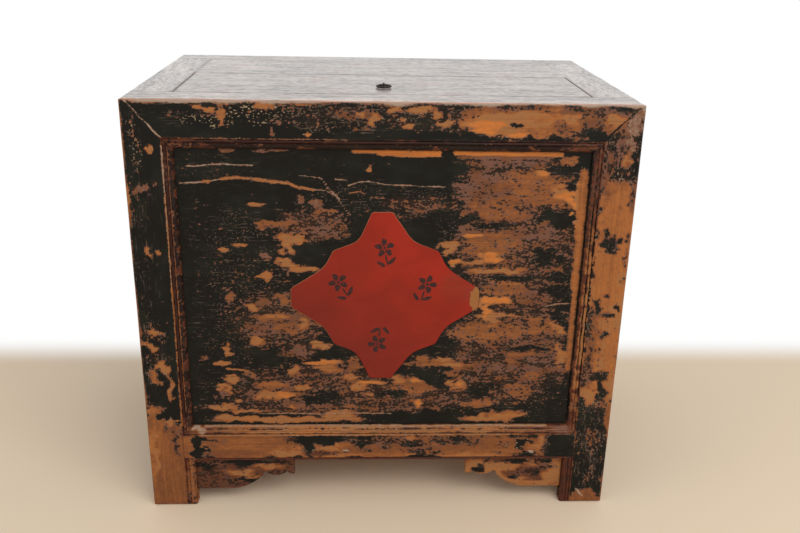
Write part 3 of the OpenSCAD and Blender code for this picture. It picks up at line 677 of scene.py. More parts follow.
PANEL_COATS = [
    ("specked", [(-250, 520, 90, 110), (-280, 380, 70, 70), (-60, 640, 80, 34), (40, 640, 80, 40)]),
    ("mottled", [
        (-130, 590, 75, 32), (-190, 400, 95, 62), (-120, 245, 210, 68), (60, 630, 55, 20),
        (245, 560, 130, 160), (250, 330, 130, 130), (70, 230, 130, 34), (255, 600, 70, 26),
    ]),
    ("mauve", [
        (175, 665, 55, 46), (290, 455, 25, 18), (285, 575, 40, 18), (-110, 578, 42, 18),
        (-160, 336, 38, 12), (-215, 384, 50, 16), (300, 320, 50, 50), (200, 305, 30, 16),
        (225, 712, 100, 9), (115, 234, 12, 7), (-70, 232, 10, 9), (150, 575, 30, 14),
    ]),
    ("brown", [
        (265, 668, 68, 32), (205, 620, 50, 22), (195, 560, 58, 26), (185, 376, 62, 24),
        (265, 330, 30, 12), (80, 315, 38, 14), (285, 385, 48, 16), (300, 285, 22, 9),
        (268, 245, 30, 14), (225, 465, 42, 12), (-190, 590, 34, 9), (-215, 594, 18, 8),
        (-172, 385, 40, 12), (-210, 405, 30, 6), (-285, 445, 8, 17), (-95, 300, 30, 13),
        (-55, 310, 11, 14), (-215, 262, 28, 9), (-250, 285, 12, 9), (-105, 618, 26, 8),
        (145, 300, 34, 14), (-186, 446, 15, 13), (300, 640, 30, 14), (330, 395, 16, 14),
        (-60, 215, 18, 6), (60, 262, 40, 16), (190, 225, 40, 10), (250, 200, 40, 9),
    ]),
    ("ochre", [
        (-170, 566, 32, 11), (-178, 550, 15, 13), (-175, 518, 32, 10), (-150, 504, 32, 7),
        (-290, 542, 13, 7), (-262, 553, 16, 4), (-218, 490, 13, 8), (-243, 427, 13, 9),
        (-155, 400, 13, 14), (-240, 360, 9, 8), (-295, 336, 8, 14), (-122, 352, 17, 8),
        (-310, 312, 22, 6), (-167, 295, 15, 10), (-290, 280, 17, 8), (-303, 256, 12, 9),
        (-215, 242, 40, 10), (-155, 257, 11, 9), (-60, 285, 15, 9), (-45, 260, 17, 10),
        (-320, 214, 44, 8), (-260, 207, 34, 5), (-280, 228, 8, 5), (-20, 242, 10, 5),
        (120, 545, 15, 15), (210, 503, 55, 5), (215, 412, 55, 4), (205, 405, 15, 14),
        (150, 268, 18, 15), (135, 305, 28, 7), (120, 318, 20, 6), (330, 655, 26, 12),
        (340, 385, 14, 14), (345, 330, 10, 30), (-25, 697, 7, 6), (-231, 628, 14, 5),
        (165, 520, 30, 6), (-200, 410, 25, 4), (30, 275, 12, 9), (-110, 300, 30, 6),
    ]),
    ("bright", [
        (-115, 313, 38, 5), (-190, 246, 22, 6), (-22, 269, 30, 4), (165, 573, 22, 3.5),
        (205, 528, 27, 10), (132, 520, 9, 6), (212, 443, 36, 7), (190, 425, 13, 15),
        (65, 273, 13, 4), (152, 265, 8, 8), (70, 224, 10, 9), (285, 692, 16, 5),
        (325, 648, 20, 6), (356, 640, 7, 60),
        (-167, 217, 14, 5), (-180, 240, 10, 4),
    ]),
    ("pink", [
        (-155, 640, 11, 9), (-125, 631, 15, 6), (-338, 635, 6, 6), (-342, 325, 7, 7),
        (-215, 530, 8, 6), (-225, 440, 14, 8), (-165, 218, 11, 5), (-305, 250, 6, 8),
    ]),
    ("clean", [(70, 690, 84, 26), (108, 722, 10, 10), (60, 195, 92, 8)]),
    ("dark", [
        (310, 612, 26, 17), (338, 602, 12, 8),
        (300, 530, 34, 16), (240, 488, 50, 7), (325, 490, 20, 8), (325, 460, 23, 14),
        (325, 412, 20, 13), (92, 295, 22, 7), (110, 345, 16, 14),
        (315, 190, 30, 10), (205, 262, 30, 8), (-345, 260, 20, 60), (-120, 235, 40, 12),
        (140, 493, 26, 8), (190, 250, 30, 9), (250, 215, 40, 5), (-200, 197, 90, 3),
        (-338, 207, 8, 5), (-338, 197, 8, 5), (20, 245, 32, 8), (145, 600, 26, 9),
        (200, 592, 36, 5), (290, 344, 40, 6), (-60, 340, 34, 12), (360, 225, 12, 46),
        (-300, 700, 70, 26), (-340, 590, 22, 60), (-340, 470, 14, 80),
    ]),
    ("ochre", [
        (-190, 187, 152, 7), (-80, 194, 44, 9), (-300, 194, 34, 6), (218, 190, 68, 10),
    ]),
    ("brown", [(335, 715, 16, 10)]),
    ("pink", [(-280, 728, 15, 4), (-215, 729, 22, 4), (-185, 730, 16, 3)]),
    ("bright", [(338, 642, 9, 11), (345, 622, 6, 22), (340, 655, 16, 4)]),
    ("black", [(336, 600, 15, 12), (316, 612, 22, 13)]),
]

# Cracks and scores: coat, half width, strength, and the points that each runs through
PANEL_SCORES = [
    ("planed", 8.0, 1.0, [(361, 690), (361, 610)]),
    ("smooth", 2.2, 0.8, [(356, 690), (357, 600)]),
    ("smooth", 1.6, 0.7, [(364, 680), (365, 400)]),
    ("planed", 6.5, 1.0, [(362, 620), (363, 470)]),
    ("planed", 4.5, 0.9, [(364, 470), (365, 300)]),
    ("bright", 3.2, 1.0, [(-55, 729), (0, 727.5), (98, 727)]),
    ("bright", 2.6, 1.0, [(-10, 723), (40, 721), (98, 722)]),
    ("bright", 4.0, 1.0, [(126, 727), (200, 726), (318, 726)]),
    ("pink", 2.0, 0.9, [(130, 719), (220, 718), (300, 719)]),
    ("hairline", 1.2, 0.9, [
        (-350, 699), (-330, 699), (-305, 702), (-285, 703), (-262, 702), (-235, 701)]),
    ("hairline", 1.3, 0.9, [(-367, 667), (-340, 668), (-318, 671), (-296, 675), (-278, 677)]),
    ("ochre", 2.6, 1.0, [
        (-290, 676), (-262, 678), (-230, 675), (-196, 671), (-175, 669), (-152, 661), (-128, 658)]),
    ("pale", 1.0, 0.8, [(-262, 679), (-230, 677), (-196, 673)]),
    ("ochre", 3.0, 1.0, [(-322, 671), (-314, 671)]),
    ("hairline", 1.1, 0.8, [
        (-152, 683), (-130, 681), (-113, 678), (-100, 659), (-84, 644), (-78, 634)]),
    ("hairline", 1.1, 0.75, [(-128, 658), (-105, 656), (-90, 648), (-62, 612)]),
    ("hairline", 1.1, 0.8, [(-88, 677), (-68, 675)]),
    ("hairline", 1.1, 0.85, [(-66, 665), (-46, 672), (-28, 674), (0, 668), (60, 666), (110, 664)]),
    ("pale", 0.9, 0.7, [(-64, 651), (-45, 655), (-35, 650)]),
    ("pale", 0.9, 0.7, [(-25, 644), (0, 642)]),
    ("ochre", 2.0, 1.0, [(-300, 300), (-280, 298), (-258, 295)]),
    ("hairline", 1.1, 0.8, [(-238, 201), (-180, 202), (-100, 200), (-60, 203), (20, 200)]),
    ("hairline", 1.1, 0.8, [(305, 430), (330, 436), (356, 438)]),
    ("pale", 0.9, 0.6, [(312, 477), (354, 477)]),
    ("pale", 0.9, 0.6, [(-240, 521), (-212, 522)]),
    ("pale", 0.9, 0.5, [(-300, 582), (-285, 583)]),
    ("pale", 0.9, 0.5, [(-195, 481), (-170, 481)]),
]

FRAME_COATS = [
    ("dark", [(-440, 520, 16, 220)]),
    ("starry", [(-250, 785, 130, 34), (-436, 740, 14, 50)]),
    # top rail
    ("lace", [(-85, 788, 100, 26), (65, 785, 84, 32), (434, 744, 26, 22), (420, 716, 36, 22)]),
    ("mottled", [(-60, 794, 40, 8), (432, 744, 24, 20)]),
    ("brown", [(398, 784, 44, 26), (426, 786, 26, 24)]),
    ("ochre", [(240, 782, 118, 29), (262, 800, 100, 12)]),
    ("brown", [(310, 776, 40, 20), (180, 800, 50, 8), (260, 765, 30, 6)]),
    ("chalky", [(398, 786, 36, 20), (434, 745, 16, 26), (444, 786, 18, 30), (392, 700, 8, 24)]),
    ("mauve", [(385, 785, 24, 14), (396, 690, 9, 44), (412, 735, 18, 24), (365, 800, 60, 8)]),
    ("mottled", [
        (285, 794, 16, 8), (240, 806, 60, 4), (345, 757, 26, 5), (315, 770, 16, 8),
        (340, 800, 20, 7),
    ]),
    ("ochre", [
        (-285, 795, 11, 14), (-287, 784, 5, 12), (-306, 797, 10, 6), (-325, 801, 11, 4),
        (-213, 803, 20, 6), (20, 797, 11, 12), (36, 775, 15, 6), (240, 790, 70, 9),
        (-20, 785, 8, 11), (-44, 793, 7, 7), (90, 792, 12, 6), (-140, 806, 14, 3),
        (325, 785, 16, 12), (405, 785, 16, 12), (430, 718, 15, 15), (-412, 730, 7, 7),
        (-400, 809, 55, 3), (60, 800, 30, 5), (110, 778, 14, 6),
    ]),
    ("bright", [(175, 776, 40, 6), (172, 766, 26, 5), (234, 761, 22, 5), (-138, 759, 7, 4)]),
    ("clean", [
        (382, 756, 10, 8), (60, 758, 64, 7), (230, 776, 14, 3), (-250, 762, 100, 10),
        (432, 690, 22, 8), (446, 700, 8, 14), (-400, 700, 10, 60), (-395, 400, 8, 150),
    ]),
    ("pink", [(-133, 808, 20, 3), (-360, 810, 60, 3), (-197, 761, 4, 8)]),
    # left post
    ("lace", [(-430, 380, 22, 22), (-425, 330, 24, 22)]),
    ("brown", [(-438, 285, 9, 18)]),
    ("ochre", [
        (-424, 383, 11, 8), (-440, 345, 13, 12), (-424, 312, 9, 12), (-415, 297, 9, 12),
        (-408, 262, 7, 34), (-455, 640, 3, 30), (-455, 205, 14, 50), (-446, 180, 16, 40),
        (-404, 538, 6, 6), (-425, 540, 6, 11),
    ]),
    ("pink", [(-436, 658, 9, 8), (-404, 667, 6, 5)]),
    ("smooth", [(-420, 80, 70, 110), (-447, 150, 18, 90), (-384, 150, 12, 60)]),
    ("ochre", [(-412, 186, 16, 10), (-450, 120, 10, 60)]),
    ("clean", [(-416, 212, 16, 24), (-396, 200, 8, 18)]),
    ("mottled", [(-404, 140, 5, 34), (-418, 172, 14, 10)]),
    # right post
    ("ochre", [(425, 430, 50, 252)]),
    ("planed", [(426, 610, 34, 74), (422, 490, 30, 70), (444, 330, 12, 80)]),
    ("brown", [(406, 350, 14, 90)]),
    ("mottled", [(400, 310, 7, 60), (396, 400, 5, 40)]),
    ("mottled", [(449, 530, 4, 20), (450, 650, 6, 30)]),
    ("lace", [(440, 700, 20, 16)]),
    ("specked", [
        (418, 562, 12, 15), (436, 566, 11, 6), (409, 582, 6, 12), (424, 549, 14, 8),
        (408, 442, 12, 10), (424, 455, 8, 4), (416, 424, 13, 15), (448, 430, 5, 8),
        (382, 398, 8, 13), (424, 374, 8, 11), (415, 290, 13, 11), (430, 262, 9, 36),
        (408, 215, 18, 12),
    ]),
    ("faded", [(424, 130, 34, 104)]),
    ("specked", [(418, 190, 22, 30), (410, 70, 10, 40)]),
    ("ochre", [(404, 246, 14, 15), (452, 262, 8, 64)]),
    ("smooth", [(420, 8, 60, 18), (452, 190, 6, 40)]),
    ("mottled", [(424, 150, 11, 21)]),
    # lower rail
    ("smooth", [(-262, 133, 104, 40)]),
    ("ochre", [(-95, 122, 34, 16), (0, 114, 90, 6), (205, 122, 42, 12), (-190, 118, 40, 12)]),
    ("smooth", [(200, 134, 140, 26), (0, 134, 80, 24)]),
    ("mottled", [(0, 141, 90, 15), (150, 144, 62, 10), (330, 138, 10, 16)]),
    ("specked", [(-44, 140, 20, 8), (60, 136, 24, 7), (150, 148, 20, 4)]),
    ("brown", [(95, 130, 16, 14), (245, 140, 14, 10)]),
    ("ochre", [(315, 140, 11, 18), (60, 148, 12, 5), (180, 110, 70, 6)]),
    ("clean", [
        (-356, 133, 12, 26), (-366, 133, 12, 26), (-145, 136, 18, 15), (283, 134, 14, 11),
        (365, 133, 17, 20),
    ]),
    ("umber", [(-120, 118, 40, 5), (-175, 150, 14, 5)]),
    ("chip", [(-68, 123, 8, 2.4), (303, 119, 7, 2.6)]),
]

FRAME_SCORES = [
    ("pale", 0.9, 0.6, [(-440, 782), (-437, 765), (-433, 745), (-426, 724)]),
    ("chip", 1.6, 0.8, [(403, 32), (409, 24), (417, 16)]),
    ("hairline", 1.2, 0.75, [(-447, 808), (-430, 791), (-405, 765)]),
    ("hairline", 1.6, 0.9, [(-410, 770), (-388, 748), (-371, 732)]),
    ("clean", 1.2, 0.9, [(452, 812), (430, 792), (405, 768), (390, 752), (373, 733)]),
]

# The mouldings: a ground of dark red, laid over with what the photograph shows
MOULDING_COATS = [
    ("lacquered", [(0, 740, 420, 12), (-380, 560, 12, 240), (-381, 300, 10, 130)]),
    ("dull_red", [(-150, 744, 260, 3), (280, 746, 120, 3)]),
    ("ochre", [(383, 400, 12, 220)]),
    ("ochre", [(0, 167, 345, 12)]),
    ("umber", [(382, 680, 12, 60), (350, 740, 20, 8)]),
    ("pink", [(352, 166, 28, 12)]),
    ("pale", [(-360, 168, 17, 11)]),
    ("brown", [(-378, 60, 14, 110), (384, 215, 12, 40)]),
    ("mottled", [(384, 140, 14, 30)]),
]
MOULDING_SCORES = [
    ("dull_red", 3.4, 1.0, [(-385, 735), (-385, 400), (-385, 200)]),
    # Painted highlights: light lines down the left post's moulding, at its outer quirk and where its
    # beads meet
    ("hairline", 1.1, 1.0, [(-389.5, 735), (-389.5, 640)]),
    ("sheen", 1.1, 1.0, [(-389.5, 650), (-389.5, 470)]),
    ("ochre", 1.0, 0.9, [(-389.5, 470), (-389.5, 180)]),
    ("pink", 0.9, 0.9, [(-380.5, 735), (-380.5, 480)]),
    ("ochre", 0.9, 0.8, [(-380.5, 480), (-380.5, 210)]),
    ("hairline", 0.8, 0.6, [(-360, 748.7), (-60, 748.7)]),
    # Painted shade: a dark line down the right post's thumb bead by the panel
    ("clean", 1.8, 1.0, [(371.2, 735), (371.2, 190)]),
    ("oxblood", 2.0, 0.8, [(374.5, 620), (374.5, 240)]),
    # Painted shade: dark lines in the right post's two quirks
    ("clean", 0.9, 0.9, [(381, 640), (381, 300)]),
    ("clean", 0.9, 0.9, [(388, 640), (388, 250)]),
    # Painted highlights along the lower rail's bead edges, with painted shade in the quirks between
    # them
    ("sheen", 1.2, 1.0, [(-345, 176), (330, 176)]),
    ("sheen", 1.2, 1.0, [(-345, 167), (352, 167)]),
    ("clean", 0.8, 0.55, [(-345, 171.5), (352, 171.5)]),
    ("clean", 0.7, 0.6, [(-345, 162.2), (352, 162.2)]),
    ("sheen", 0.9, 0.9, [(-360, 158.2), (260, 158.2)]),
]

BRACKET_COATS = [
    ("umber", [(-280, 60, 150, 80)]),
    ("black", [(-270, 92, 70, 8), (-240, 50, 60, 6), (-350, 84, 16, 10)]),
    ("ochre", [(-285, 68, 30, 8), (-262, 60, 24, 6), (-228, 80, 30, 6), (270, 60, 150, 60)]),
    ("umber", [(296, 64, 44, 16), (318, 52, 22, 8), (250, 92, 30, 5)]),
    ("black", [
        (203, 74, 11, 6), (285, 90, 30, 6), (318, 62, 8, 6), (272, 54, 10, 4), (340, 90, 14, 6),
    ]),
    ("mottled", [(330, 80, 18, 12), (215, 92, 12, 5)]),
]


# The noise that tears what is painted: how far it shifts, blotch size in x and z, and layer
TEARS = ((26, 32, 18, 1.5), (13, 11, 7, 5.5))
# A spot is full up to SPOT_FULL of its half sizes and gone at SPOT_END; under SMALL it is torn less
SPOT_FULL, SPOT_END, SMALL = 0.68, 1.18, 14


def ragged(x, z):
    """How far noise shifts each place, so that what is painted there gets torn outlines."""
    def shift(px, pz):
        return sum((far * noise.noise_vector(Vector((px / wide, layer, pz / high)))
                    for far, wide, high, layer in TEARS), Vector())
    return np.array([shift(px, pz) for px, pz in zip(x, z)])


def paint(x, z, shift, base, coats):
    """Lays the coats one over another at the places x, z; small spots are torn less."""
    marks = np.tile(np.array(COATS[base]), (len(x), 1))
    for coat, spots in coats:
        for middle_x, middle_z, half_w, half_h in spots:
            torn = min(1.0, min(half_w, half_h) / SMALL)
            across = (x + torn * shift[:, 0] - middle_x) / half_w
            up = (z + 0.6 * torn * shift[:, 2] - middle_z) / half_h
            out = np.hypot(across, up)
            share = np.clip((SPOT_END - out) / (SPOT_END - SPOT_FULL), 0, 1)[:, None]
            marks += (np.array(COATS[coat]) - marks) * share
    return marks


def distance_to(x, z, points):
    """Distance from the places x, z to a line through points."""
    best = np.full(len(x), 1e9)
    for (ax, az), (bx, bz) in zip(points, points[1:]):
        run = (bx - ax) ** 2 + (bz - az) ** 2
        t = np.clip(((x - ax) * (bx - ax) + (z - az) * (bz - az)) / run, 0, 1)
        best = np.minimum(best, np.hypot(x - ax - t * (bx - ax), z - az - t * (bz - az)))
    return best


def score(x, z, shift, marks, scores):
    """Draws the cracks over the painted marks."""
    x, z = x + 0.08 * shift[:, 0], z + 0.05 * shift[:, 2]
    for coat, width, strength, points in scores:
        near = strength * np.clip(1.6 - distance_to(x, z, points) / width, 0, 1)[:, None]
        marks += (np.array(COATS[coat]) - marks) * near
    return marks


def front_marks(points, base, coats, scores=()):
    x = points[:, 0]
    z = np.interp(points[:, 2], (0, RAIL_BOTTOM, RAIL_CREST, HEAD_BOTTOM, HEIGHT), SKETCH_LINES)
    shift = ragged(x, z)
    return score(x, z, shift, paint(x, z, shift, base, coats), scores)


def weathered(points):
    """Wear of the sides that the photograph doesn't show: broad drifts, and more near the floor."""
    stretched = points / (260, 260, 130)
    drift = np.array([noise.fractal(Vector(q), 0.9, 2.1, 3) for q in stretched])
    local = blotches(points, 60, (7, 3, 1))
    low = np.clip(1 - points[:, 2] / 120, 0, 1)
    marks = np.zeros((len(points), 4))
    marks[:, 0] = np.clip(-0.28 + 1.2 * drift + 0.35 * local + 0.6 * low, -0.75, 0.8)
    marks[:, 1] = np.clip(0.8 * local, -1, 1)
    return marks


def rubbed(points, marks):
    """Adds the wear along the outer corners and the top's arris."""
    x, y, z = abs(points.T)
    edge = np.sort([HALF_W - x, HALF_D - y, HEIGHT - z], 0)[1]
    wobble = blotches(points, 45)
    at_top = HEIGHT - z < 9
    reach = np.where(at_top, 7.0 + 5.0 * wobble, 4.5 + 3.5 * wobble)
    rub = np.clip(1.1 - edge / reach, 0, 1) * (0.75 + 0.6 * wobble)
    marks[:, 0] += 1.3 * rub
    marks[:, 1] -= 0.5 * rub * at_top
    marks[:, 2] += 1.0 * rub * at_top
    return marks


def bare_inside(points, marks):
    """Leaves the wood that faces the inside of the trunk bare."""
    inward = np.minimum(HALF_W - abs(points[:, 0]), HALF_D - abs(points[:, 1]))
    marks[(inward > PANEL_BACK - 0.5) & (points[:, 2] > RAIL_BOTTOM)] = (0.7, -0.3, 0.0, 0.0)
    return marks


def attributes(marks):
    return {key: marks[:, k] for k, key in enumerate(("wear", "warm", "pale", "red"))}


def is_moulding(across, depth):
    """Whether points, by their distance from the inner edge and their depth, lie in a moulding."""
    return (across < MOULDING_W + 0.3) & (across > -0.5) & (depth < RECESS - 0.2)


def frame_marks(points, moulded, on_front):
    """Wear of a post or rail: painted from listed spots where on_front, drifting by itself elsewhere.
    """
    marks = weathered(points)
    marks[moulded, 3] = 0.85
    if on_front.any():
        shown = points[on_front]
        hand = front_marks(shown, "black", FRAME_COATS, FRAME_SCORES)
        beads = front_marks(shown, "oxblood", MOULDING_COATS, MOULDING_SCORES)
        marks[on_front] = np.where(moulded[on_front][:, None], beads, hand)
    return rubbed(points, marks)


# The frame

def swept(name, rings, around, points, marks):
    marks = bare_inside(points, marks)
    return new_mesh(name, hand_made(points), tube_faces(rings, around), attributes(marks))


def step_on(side):
    return FINE if side == "front" else COARSE


def rail(name, side, outline, ends, reach, core, corners, find_moulded):
    """Sweeps a rail's outline along its side, drawn out to each outline point's own end.

    reach is its half length and core the half that isn't drawn out; corners wears the points, and
    find_moulded tells which of them lie in a moulding.
    """
    stations = spread(-reach, reach, FINE_STATION if side == "front" else COARSE)
    u = stretch(stations, -ends, ends, (-core, core))
    rings, around = u.shape
    depth, z = np.tile(np.array(outline).T, rings)
    points = corners(np.stack(SIDES[side](u.reshape(-1), depth, z), 1))
    moulded = find_moulded(depth, z) & (side != "back")
    marks = frame_marks(points, moulded, np.full(len(points), side == "front"))
    return swept("worn_" + name + "_" + side, rings, around, points, marks)


def top_rail(side):
    face = [(0.0, HEAD_BOTTOM)]
    if side != "back":
        face = [(d, HEAD_BOTTOM + s) for s, d in moulding_profile()]
    outline = face[:-1] + through(face[-1], (0.0, HEIGHT - NEAR_ARRIS[-1]), step=step_on(side))
    outline += [(0.0, HEIGHT - c) for c in reversed(NEAR_ARRIS)]
    outline += through(
        (0.0, HEIGHT), (TOP_T, HEIGHT - TOP_T), (FRAME_T, HEIGHT - TOP_T), (FRAME_T, HEAD_BOTTOM),
        (GROOVE_D, HEAD_BOTTOM), (GROOVE_D, HEAD_BOTTOM + GROOVE_IN),
        (RECESS, HEAD_BOTTOM + GROOVE_IN), (RECESS, HEAD_BOTTOM), face[0])
    field = FIELD[side]
    mitred = field + np.array(outline)[:, 1] - HEAD_BOTTOM
    return rail("top_rail", side, outline, mitred, field + HEIGHT - HEAD_BOTTOM, field - 15,
                worn_edges, lambda depth, z: is_moulding(z - HEAD_BOTTOM, depth))


def lower_rail(side):
    face, foot = [(0.0, RAIL_CREST)], [(0.0, RAIL_BOTTOM)]
    if side != "back":
        face = [(d, RAIL_CREST - s) for s, d in moulding_profile()]
        foot = [(d, RAIL_BOTTOM + s) for s, d in edge_profile()]
    outline = face[:-1] + through(face[-1], foot[0], step=step_on(side)) + foot
    outline += through(
        (foot[-1][0] + 0.1, RAIL_BOTTOM), (RECESS - 0.05, RAIL_BOTTOM), (RECESS, RAIL_BOTTOM),
        (FRAME_T, RAIL_BOTTOM), (FRAME_T, RAIL_CREST), (GROOVE_D, RAIL_CREST),
        (GROOVE_D, RAIL_CREST - GROOVE_IN), (RECESS, RAIL_CREST - GROOVE_IN), (RECESS, RAIL_CREST),
        face[0])
    depth, z = np.array(outline).T
    field = FIELD[side]
    ends = np.full(len(outline), float(field))
    if side != "back":
        scribe = field + MOULDING_W - np.maximum(0, RAIL_BOTTOM + EDGE_W - z)
        scribe = np.minimum(np.minimum(field + MOULDING_W, field + RAIL_CREST - z), scribe)
        ends = np.where(depth < RECESS - 0.01, scribe, field)
    return rail("lower_rail", side, outline, ends, field + MOULDING_W, field - 8, np.array,
                lambda depth, z: is_moulding(RAIL_CREST - z, depth) | (z < RAIL_BOTTOM + EDGE_W))


def post(right, back):
    """An L-shaped post; a runs in from the side face and b from the front or back face."""
    fine = not back
    step = FINE if fine else COARSE
    close = (6, 3.8, 2.6, 1.7, 1.0, 0.5)
    groove = POST_FACE - GROOVE_IN
    profile = moulding_profile()
    front_end = [(POST_FACE - s, d) for s, d in reversed(profile)] if fine else [(POST_FACE, 0.0)]
    side_end = [(d, POST_FACE - s) for s, d in profile]
    outline = [(0.0, 0.0)] + [(c, 0.0) for c in reversed(close[1:])]
    outline += through((close[0], 0.0), front_end[0], step=step) + front_end[:-1]
    outline += through(
        front_end[-1], (POST_FACE, RECESS), (groove, RECESS), (groove, GROOVE_D),
        (POST_FACE, GROOVE_D), (POST_FACE, FRAME_T), (FRAME_T, FRAME_T), (FRAME_T, POST_FACE),
        (GROOVE_D, POST_FACE), (GROOVE_D, groove), (RECESS, groove), (RECESS, POST_FACE),
        side_end[0], step=INNER)
    outline += side_end[:-1] + through(
        side_end[-1], (0.0, close[0]), step=POST_SIDE if fine else COARSE)
    outline += [(0.0, c) for c in close]
    a, b = np.array(outline).T
    mitre = POST_FACE - (HEIGHT - HEAD_BOTTOM)
    drop = np.minimum(np.minimum(a, b), TOP_T)
    drop = np.where(b <= FRAME_T, np.maximum(drop, a - mitre), drop)
    drop = np.where(a <= FRAME_T, np.maximum(drop, b - mitre), drop)
    scribe = FINE_SCRIBE if fine else COARSE_SCRIBE
    at_rail = list(np.arange(RAIL_BOTTOM - 4, RAIL_CREST + 5, scribe))
    rest = spread(0, HEIGHT, FINE_STATION if fine else POST_STATION, (0, 0.6, 1.5, 3, 5))
    stations = sorted([v for v in rest if not RAIL_BOTTOM - 5 < v < RAIL_CREST + 6] + at_rail)
    heights = stretch(stations, np.zeros(len(a)), HEIGHT - drop, (-1.0, HEAD_BOTTOM - 31))
    rings, around = heights.shape
    a, b, z = np.tile(a, rings), np.tile(b, rings), heights.reshape(-1)
    front_across = np.where(b < RECESS, POST_FACE - a, 99.0)
    side_across = np.where(a < RECESS, POST_FACE - b, 99.0)
    in_front = is_moulding(front_across, b) & fine
    in_side = is_moulding(side_across, a)
    b = scribed(front_across, b, z, in_front)
    a = scribed(side_across, a, z, in_side)
    points = worn_edges(np.stack([
        (1 if right else -1) * (HALF_W - a), (1 if back else -1) * (HALF_D - b), z], 1))
    marks = frame_marks(points, in_front | in_side, (b < RECESS) & (a > 1.2) & fine)
    name = "worn_post_" + ("back" if back else "front") + ("_right" if right else "_left")
    return swept(name, rings, around, points, marks)


def scribed(across, depth, z, moulded):
    """Sinks a post's moulding where the lower rail's face is scribed over it."""
    inside = np.minimum(RAIL_CREST - across - z, MOULDING_W - across)
    inside = np.minimum(inside, z - RAIL_BOTTOM - np.maximum(0, across - MOULDING_W + EDGE_W))
    return np.where(moulded & (inside > 1.7), np.maximum(depth, RECESS - 0.4), depth)


def panel(side):
    fine = side == "front"
    field = FIELD[side]
    low, high = RAIL_CREST, HEAD_BOTTOM
    outline = through((RECESS, low - TONGUE_IN), (RECESS, high + TONGUE_IN),
                      step=PANEL_ROW if fine else COARSE)
    outline += through(
        (RECESS, high + TONGUE_IN), (GROOVE_D, high + TONGUE_IN), (GROOVE_D, high),
        (PANEL_BACK, high), (PANEL_BACK, low), (GROOVE_D, low), (GROOVE_D, low - TONGUE_IN),
        outline[0], step=18)
    inner = spread(-field, field, PANEL_COLUMN if fine else COARSE)
    stations = [-field - TONGUE_IN, -field - 0.05] + inner + [field + 0.05, field + TONGUE_IN]
    rings, around, u, depth, z = laid(stations, outline)
    depth = np.where(np.abs(u) > field + 0.01, np.minimum(depth, GROOVE_D), depth)
    points = np.stack(SIDES[side](u, depth, z), 1)
    marks = front_marks(points, "black", PANEL_COATS, PANEL_SCORES) if fine else weathered(points)
    return swept("worn_panel_" + side, rings, around, points, marks)


MEDALLION_LOW, MEDALLION_HIGH = box_mm("medallion")
MEDALLION_MIDDLE = (MEDALLION_LOW + MEDALLION_HIGH) / 2
NECK_Z, TIP_LEAN = 92, 7
NECK_IN = (0.13, 0.06)

# The painted sprigs: name, x, z and tilt
SPRIGS = (
    ("blossom_upper", 3, 543, 0.1), ("blossom_left", -79, 476, 0.5),
    ("blossom_right", 79, 472, -0.4), ("blossom_lower", -7, 367, 2.9),
)
SPRIG_SIZE, STROKE_POINTS = 1.2, 18
PETALS, HEART_Z, PETAL_OUT, PETAL_LONG, PETAL_WIDE = 5, 8, 9.5, 6.0, 4.2
# The heart, the stem and the two leaves: x, z, half length, half width and turn
OTHER_STROKES = [
    (0, HEART_Z, 2.4, 2.4, 0), (1.5, -12, 1.3, 9.5, 0.14), (9.5, -14, 8.0, 3.0, 0.7),
    (-7.5, -18, 7.5, 2.8, 2.5),
]


def medallion_marks(points):
    """Shade to the lower left, worn side tips, a chip at the right one, and a rim lit from above."""
    x, z = points[:, 0] - MEDALLION_MIDDLE.x, points[:, 2] - MEDALLION_MIDDLE.z
    shade = np.clip(0.45 - x / 330 - z / 300, 0, 1) * 0.8
    tip = np.clip(1 - (np.hypot(x - 135, z - 20) - 8) / 40, 0, 0.55)
    tip = np.where(np.hypot((x - 184) / 24, (z + 2) / 34) < 1, 1.6, tip)
    lit = np.clip(0.5 + (z - x) / 200, 0, 1)
    return {"shade": shade, "tip": tip, "lit": lit,
            "rim": (points[:, 1] > MEDALLION_LOW.y + 0.02) * 1.0}


def cut_by_hand(plate):
    """Draws the necks in and the upper and lower tips to the left, as the outline was cut."""
    for vertex in plate.data.vertices:
        x, z = vertex.co.x / MM - MEDALLION_MIDDLE.x, vertex.co.z / MM - MEDALLION_MIDDLE.z
        away = abs(z) - NECK_Z
        neck = min(1.0, max(0.0, away / 20)) * (NECK_IN[0] if z > 0 else NECK_IN[1])
        lean = min(1.0, max(0.0, away / 70)) ** 1.5 * TIP_LEAN
        vertex.co.x = (MEDALLION_MIDDLE.x + x * (1 - neck) - lean) * MM


